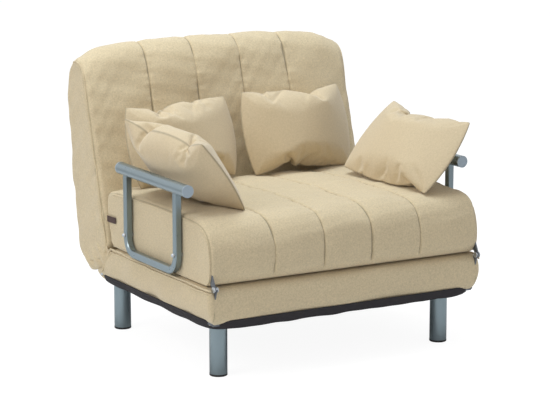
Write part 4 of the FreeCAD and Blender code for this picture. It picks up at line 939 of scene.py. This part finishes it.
class CHAIR_OT_pillows(PieceOperator):
    """Four loose pillows, filled by cloth simulation"""

    bl_idname = "chair.pillows"
    bl_label = "Pillows"

    def execute(self, context):
        sizes = context.scene.chair_sizes
        for name, facts in PILLOWS.items():
            self.make(name, facts, sizes)
        return {"FINISHED"}

    @staticmethod
    def make(name, facts, sizes):
        length, height = facts["size"]
        label = name.replace("pillow", "pillow_cover")
        piece = pillow_mesh(label, length, height, 0.020, Kit.get("pillow"), full=0.13)
        points = inflate(piece, sizes.pillow_pressure)
        span = points.max(0) - points.min(0)
        points = points - (points.max(0) + points.min(0)) / 2
        points *= np.array([length, height, PILLOW_THICK]) / span
        low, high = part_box(name)
        points = pillow_pose(points, (low + high) / 2, facts["turn"])
        piece.data.vertices.foreach_set("co", points.astype(np.float32).ravel())
        piece.data.update()
        subdivision = piece.modifiers.new("smooth", "SUBSURF")
        subdivision.levels = subdivision.render_levels = 1
        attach(piece, name)
        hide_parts(name)
        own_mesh(piece)


class CHAIR_OT_linings(PieceOperator):
    """Black cloth under the base and behind the backrest"""

    bl_idname = "chair.linings"
    bl_label = "Linings"

    def execute(self, context):
        self.tray()
        self.panel()
        return {"FINISHED"}

    @staticmethod
    def tray():
        """A sagging sheet with turned-up edges. Round the middle runs an angle a; outwards the distance is
        that of a rounded rectangle, |cos|^n + |sin|^n = 1 with n = 14."""
        low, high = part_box("dust_cover")
        half_x, half_y = 0.4365, (high.y - low.y) / 2 - 0.002
        middle_y = (high.y + low.y) / 2
        angle = np.linspace(0, 2 * math.pi, 241)[:-1]
        power = 14.0
        radius = (np.abs(np.cos(angle)) ** power + np.abs(np.sin(angle)) ** power) ** (-1 / power)
        out = np.concatenate([np.linspace(0.02, 0.93, 22), [0.952, 0.97, 0.983, 0.991, 0.996, 1.0, 1.002, 1.003]])
        lift = np.concatenate([np.zeros(22), [0.0004, 0.0018, 0.0045, 0.008, 0.013, 0.019, 0.024, 0.0285]])
        x = out[:, None] * radius * np.cos(angle) * half_x
        y = out[:, None] * radius * np.sin(angle) * half_y + middle_y
        sag = -0.0032 * np.clip(1 - out, 0, 1)[:, None] * np.ones_like(angle)
        z = 0.1485 + lift[:, None] + sag
        points = np.stack([x, y, z], -1)
        points[..., 2] += ripple(points, 0.0011, 0.11, 31) * (lift[:, None] < 0.02)
        flat = np.stack([x, y], -1)
        rows, columns = points.shape[:2]
        faces = tube_faces(rows, columns)[:, ::-1]
        uv = [flat.reshape(-1, 2)[faces]]
        centre = np.arange(columns)
        everything = np.concatenate([points.reshape(-1, 3), points[0].mean(0)[None]])
        fan = np.stack([centre, np.roll(centre, -1), np.full(columns, rows * columns)], -1)[:, ::-1]
        uv.append(everything[fan][..., :2])
        piece = mesh_object("dust_lining", everything, [faces, fan], Kit.get("lining"), uv=uv)
        thicken(piece, 0.0016)
        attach(piece, "base")
        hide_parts("dust_cover")

    @staticmethod
    def panel():
        """The rear lining: a sheet in the backrest's hollow, drawn tight over the frame's rails."""
        u = np.concatenate([[-0.0260, -0.024], np.linspace(-0.018, 0.518, 90), [0.5235, 0.5255]])
        x = np.concatenate([[-0.3850, -0.383], np.linspace(-0.378, 0.378, 120), [0.383, 0.3850]])
        across, up = np.meshgrid(x, u, indexing="ij")
        points = np.stack([across, np.full_like(across, 0.1058), up], -1)
        points[..., 1] += np.minimum(0, ripple(points, 0.0007, 0.12, 41))
        faces = tube_faces(*points.shape[:2], closed=False)[:, ::-1]
        uv = [points[..., [0, 2]].reshape(-1, 2)[faces]]
        piece = mesh_object("rear_lining", lean_back(points).reshape(-1, 3), [faces], Kit.get("lining"), uv=uv)
        thicken(piece, 0.0012)
        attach(piece, "back")
        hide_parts("rear_panel")


class CHAIR_OT_gussets(PieceOperator):
    """Loose cloth between the base and the backrest, bunched where it covers the ratchets"""

    bl_idname = "chair.gussets"
    bl_label = "Gussets"

    def execute(self, context):
        for side, name in ((-1, "left"), (1, "right")):
            self.make(side, name)
        return {"FINISHED"}

    @staticmethod
    def make(side, name):
        """A strip from the base's rear slope (t = 0) to the backrest's lower edge (t = 1): both ends are parabolas
        through three points, the strip bows out by 4 t (1 - t), and folds run across it as sine waves."""
        s = np.linspace(0, 1, 61)
        t = np.linspace(0, 1, 41)

        def parabola(a, b, c):
            a, b, c = (np.array(p)[None] for p in (a, b, c))
            k = s[:, None]
            return a * (1 - k) * (1 - 2 * k) + 4 * b * k * (1 - k) + c * k * (2 * k - 1)

        low = parabola((0.165, 0.248), (0.225, 0.203), (0.306, 0.1760))
        high = parabola((0.214, 0.290), (0.296, 0.272), (0.374, 0.245))
        k, m = np.meshgrid(s, t, indexing="ij")
        flat = low[:, None] * (1 - m)[..., None] + high[:, None] * m[..., None]
        bow_out = 4 * m * (1 - m)
        folds = 0.0042 * np.sin(2 * math.pi * (3.4 * k + 0.55 * m + 0.16 * np.sin(5 * m))) * bow_out ** 0.6
        creases = -0.0022 * np.abs(np.sin(math.pi * (5.0 * k - 0.8 * m + 0.3))) ** 6 * bow_out
        ease = 0.0025 * np.sin(3 * math.pi * k) * bow_out
        tucked = np.minimum(1, 4 * np.minimum(k, 1 - k) + 0.25)
        x = side * (0.4330 + 0.0175 * bow_out ** 0.5 * tucked ** 0.5 + folds + creases)
        points = np.stack([x, flat[..., 0] + ease, flat[..., 1] - 0.010 * bow_out * k], -1)
        faces = tube_faces(61, 41, closed=False)
        faces = faces if side > 0 else faces[:, ::-1]
        uv = [points[..., [1, 2]].reshape(-1, 2)[faces]]
        piece = mesh_object(f"gusset_{name}", points.reshape(-1, 3), [faces], Kit.get("cover"), uv=uv,
                            seam=np.zeros(points.size // 3))
        thicken(piece, 0.0024)
        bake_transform(piece)


class CHAIR_OT_side_tab(PieceOperator):
    """Folded brown ribbon sewn to the left side of the seat"""

    bl_idname = "chair.side_tab"
    bl_label = "Side tab"

    def execute(self, context):
        low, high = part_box("side_tab")
        t = np.linspace(0, 1, 29)
        s = np.linspace(0, 1, 15)
        along, up = np.meshgrid(t, s, indexing="ij")
        y = low.y + (high.y - low.y) * along
        z = low.z + (high.z - low.z) * up - 0.002 * along
        x = high.x - 0.0008 - 0.0016 * np.sin(math.pi * along) * (0.6 + 0.4 * np.sin(math.pi * up))
        points = np.stack([x, y, z], -1)
        faces = tube_faces(29, 15, closed=False)
        uv = [points[..., [1, 2]].reshape(-1, 2)[faces]]
        piece = mesh_object("side_tab_ribbon", points.reshape(-1, 3), [faces], Kit.get("tab"), uv=uv)
        thicken(piece, 0.0011, -1.0)
        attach(piece, "seat")
        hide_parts("side_tab")
        return {"FINISHED"}


class CHAIR_OT_hardware(PieceOperator):
    """Finishes of the metal, plastic and wooden parts that the frame brings"""

    bl_idname = "chair.hardware"
    bl_label = "Metal, plastic and wood"

    def execute(self, context):
        for finish, names in FINISHES.items():
            for name in names:
                slots = frame["nodes"][name].data.materials
                slots.clear()
                slots.append(Kit.get(finish))
        return {"FINISHED"}


class CHAIR_OT_stage(PieceOperator):
    """Pale floor, soft lamps and the camera"""

    bl_idname = "chair.stage"
    bl_label = "Stage"

    def execute(self, context):
        scene = context.scene
        scene.view_settings.view_transform = "Standard"
        self.floor()
        self.world(scene)
        self.lamps()
        self.camera(scene)
        return {"FINISHED"}

    @staticmethod
    def floor():
        """A wide sheet, nearly white to the camera, on which only faint shadows show."""
        points = np.array([[-14, -14, 0], [14, -14, 0], [14, 14, 0], [-14, 14, 0]], float)
        f = Finish("studio_floor")
        seen = f.add("ShaderNodeLightPath", output="Is Camera Ray")
        tone = f.mix(seen, (0.9, 0.9, 0.9, 1.0), (0.22, 0.22, 0.22, 1.0))
        f.finish(Base_Color=tone, Roughness=0.9, Specular_IOR_Level=0.0)
        floor = mesh_object("floor", points, [np.array([[0, 1, 2, 3]])], f.material, smooth=False)
        glow = f.add("ShaderNodeEmission", None, {"Color": (1, 1, 1, 1), "Strength": seen * 0.92})
        both = f.add("ShaderNodeAddShader", None, {0: Wire(f, f.shader.outputs[0]), 1: glow})
        f.feed(f.tree.nodes["Material Output"].inputs["Surface"], both)

    @staticmethod
    def world(scene):
        world = bpy.data.worlds.new("studio")
        scene.world = world
        world.use_nodes = True
        nodes, links = world.node_tree.nodes, world.node_tree.links
        background = nodes["Background"]
        path = nodes.new("ShaderNodeLightPath")
        seen = nodes.new("ShaderNodeMath")
        seen.operation = "MAXIMUM"
        links.new(path.outputs["Is Camera Ray"], seen.inputs[0])
        links.new(path.outputs["Is Glossy Ray"], seen.inputs[1])
        level = nodes.new("ShaderNodeMapRange")
        level.inputs["To Min"].default_value = 0.46
        level.inputs["To Max"].default_value = 1.0
        links.new(seen.outputs[0], level.inputs["Value"])
        background.inputs["Color"].default_value = (1, 1, 1, 1)
        links.new(level.outputs[0], background.inputs["Strength"])

    @staticmethod
    def lamps():
        for name, place, size, power, tone in (
                ("key", (-3.4, -0.6, 2.6), 1.8, 43.0, (1.0, 0.975, 0.94)),
                ("fill", (2.2, -4.2, 2.4), 3.0, 9.0, (1.0, 1.0, 1.0)),
                ("top", (-0.3, 0.3, 3.6), 1.8, 80.0, (0.85, 0.935, 1.0))):
            data = bpy.data.lights.new(name, "AREA")
            data.size = size
            data.energy = power
            data.color = tone
            lamp = bpy.data.objects.new(name, data)
            bpy.context.scene.collection.objects.link(lamp)
            lamp.location = place
            way = np.array([0.0, 0.0, 0.45]) - np.array(place)
            lamp.rotation_euler = (math.atan2(math.hypot(way[0], way[1]), -way[2]), 0,
                                   math.atan2(way[1], way[0]) - math.pi / 2)

    @staticmethod
    def camera(scene):
        view = scene.chair_view
        data = bpy.data.cameras.new("camera")
        data.lens = view.lens
        data.sensor_width = 36.0
        data.sensor_fit = "HORIZONTAL"
        data.clip_end = 60
        camera = bpy.data.objects.new("camera", data)
        scene.collection.objects.link(camera)
        flat = view.distance * math.cos(view.elevation)
        camera.location = (view.target[0] + flat * math.sin(view.azimuth),
                           view.target[1] - flat * math.cos(view.azimuth),
                           view.target[2] + view.distance * math.sin(view.elevation))
        camera.rotation_euler = (math.pi / 2 - view.elevation, 0, view.azimuth)
        scene.camera = camera


class CHAIR_PT_panel(bpy.types.Panel):
    """Lists the pieces and their settings in the sidebar"""

    bl_idname = "CHAIR_PT_panel"
    bl_label = "Chair Bed"
    bl_space_type = "VIEW_3D"
    bl_region_type = "UI"
    bl_category = "Chair Bed"

    def draw(self, context):
        layout = self.layout
        for operator in OPERATORS:
            layout.operator(operator.bl_idname)
        for group in (context.scene.chair_sizes, context.scene.chair_colours, context.scene.chair_view):
            box = layout.box()
            for name in group.__annotations__:
                box.prop(group, name)


GROUPS = {"chair_sizes": ChairSizes, "chair_colours": ChairColours, "chair_view": ChairView}
OPERATORS = [CHAIR_OT_stage, CHAIR_OT_hardware, CHAIR_OT_base_cover, CHAIR_OT_seat_cover, CHAIR_OT_back_cover,
             CHAIR_OT_pillows, CHAIR_OT_linings, CHAIR_OT_gussets, CHAIR_OT_side_tab]


def register():
    for group in list(GROUPS.values()) + OPERATORS + [CHAIR_PT_panel]:
        bpy.utils.register_class(group)
    for name, group in GROUPS.items():
        setattr(bpy.types.Scene, name, bpy.props.PointerProperty(type=group))


def unregister():
    for name in GROUPS:
        delattr(bpy.types.Scene, name)
    for group in reversed(list(GROUPS.values()) + OPERATORS + [CHAIR_PT_panel]):
        bpy.utils.unregister_class(group)


def main():
    register()
    for operator in OPERATORS:
        family, name = operator.bl_idname.split(".")
        getattr(getattr(bpy.ops, family), name)()


if __name__ == "__main__":
    main()
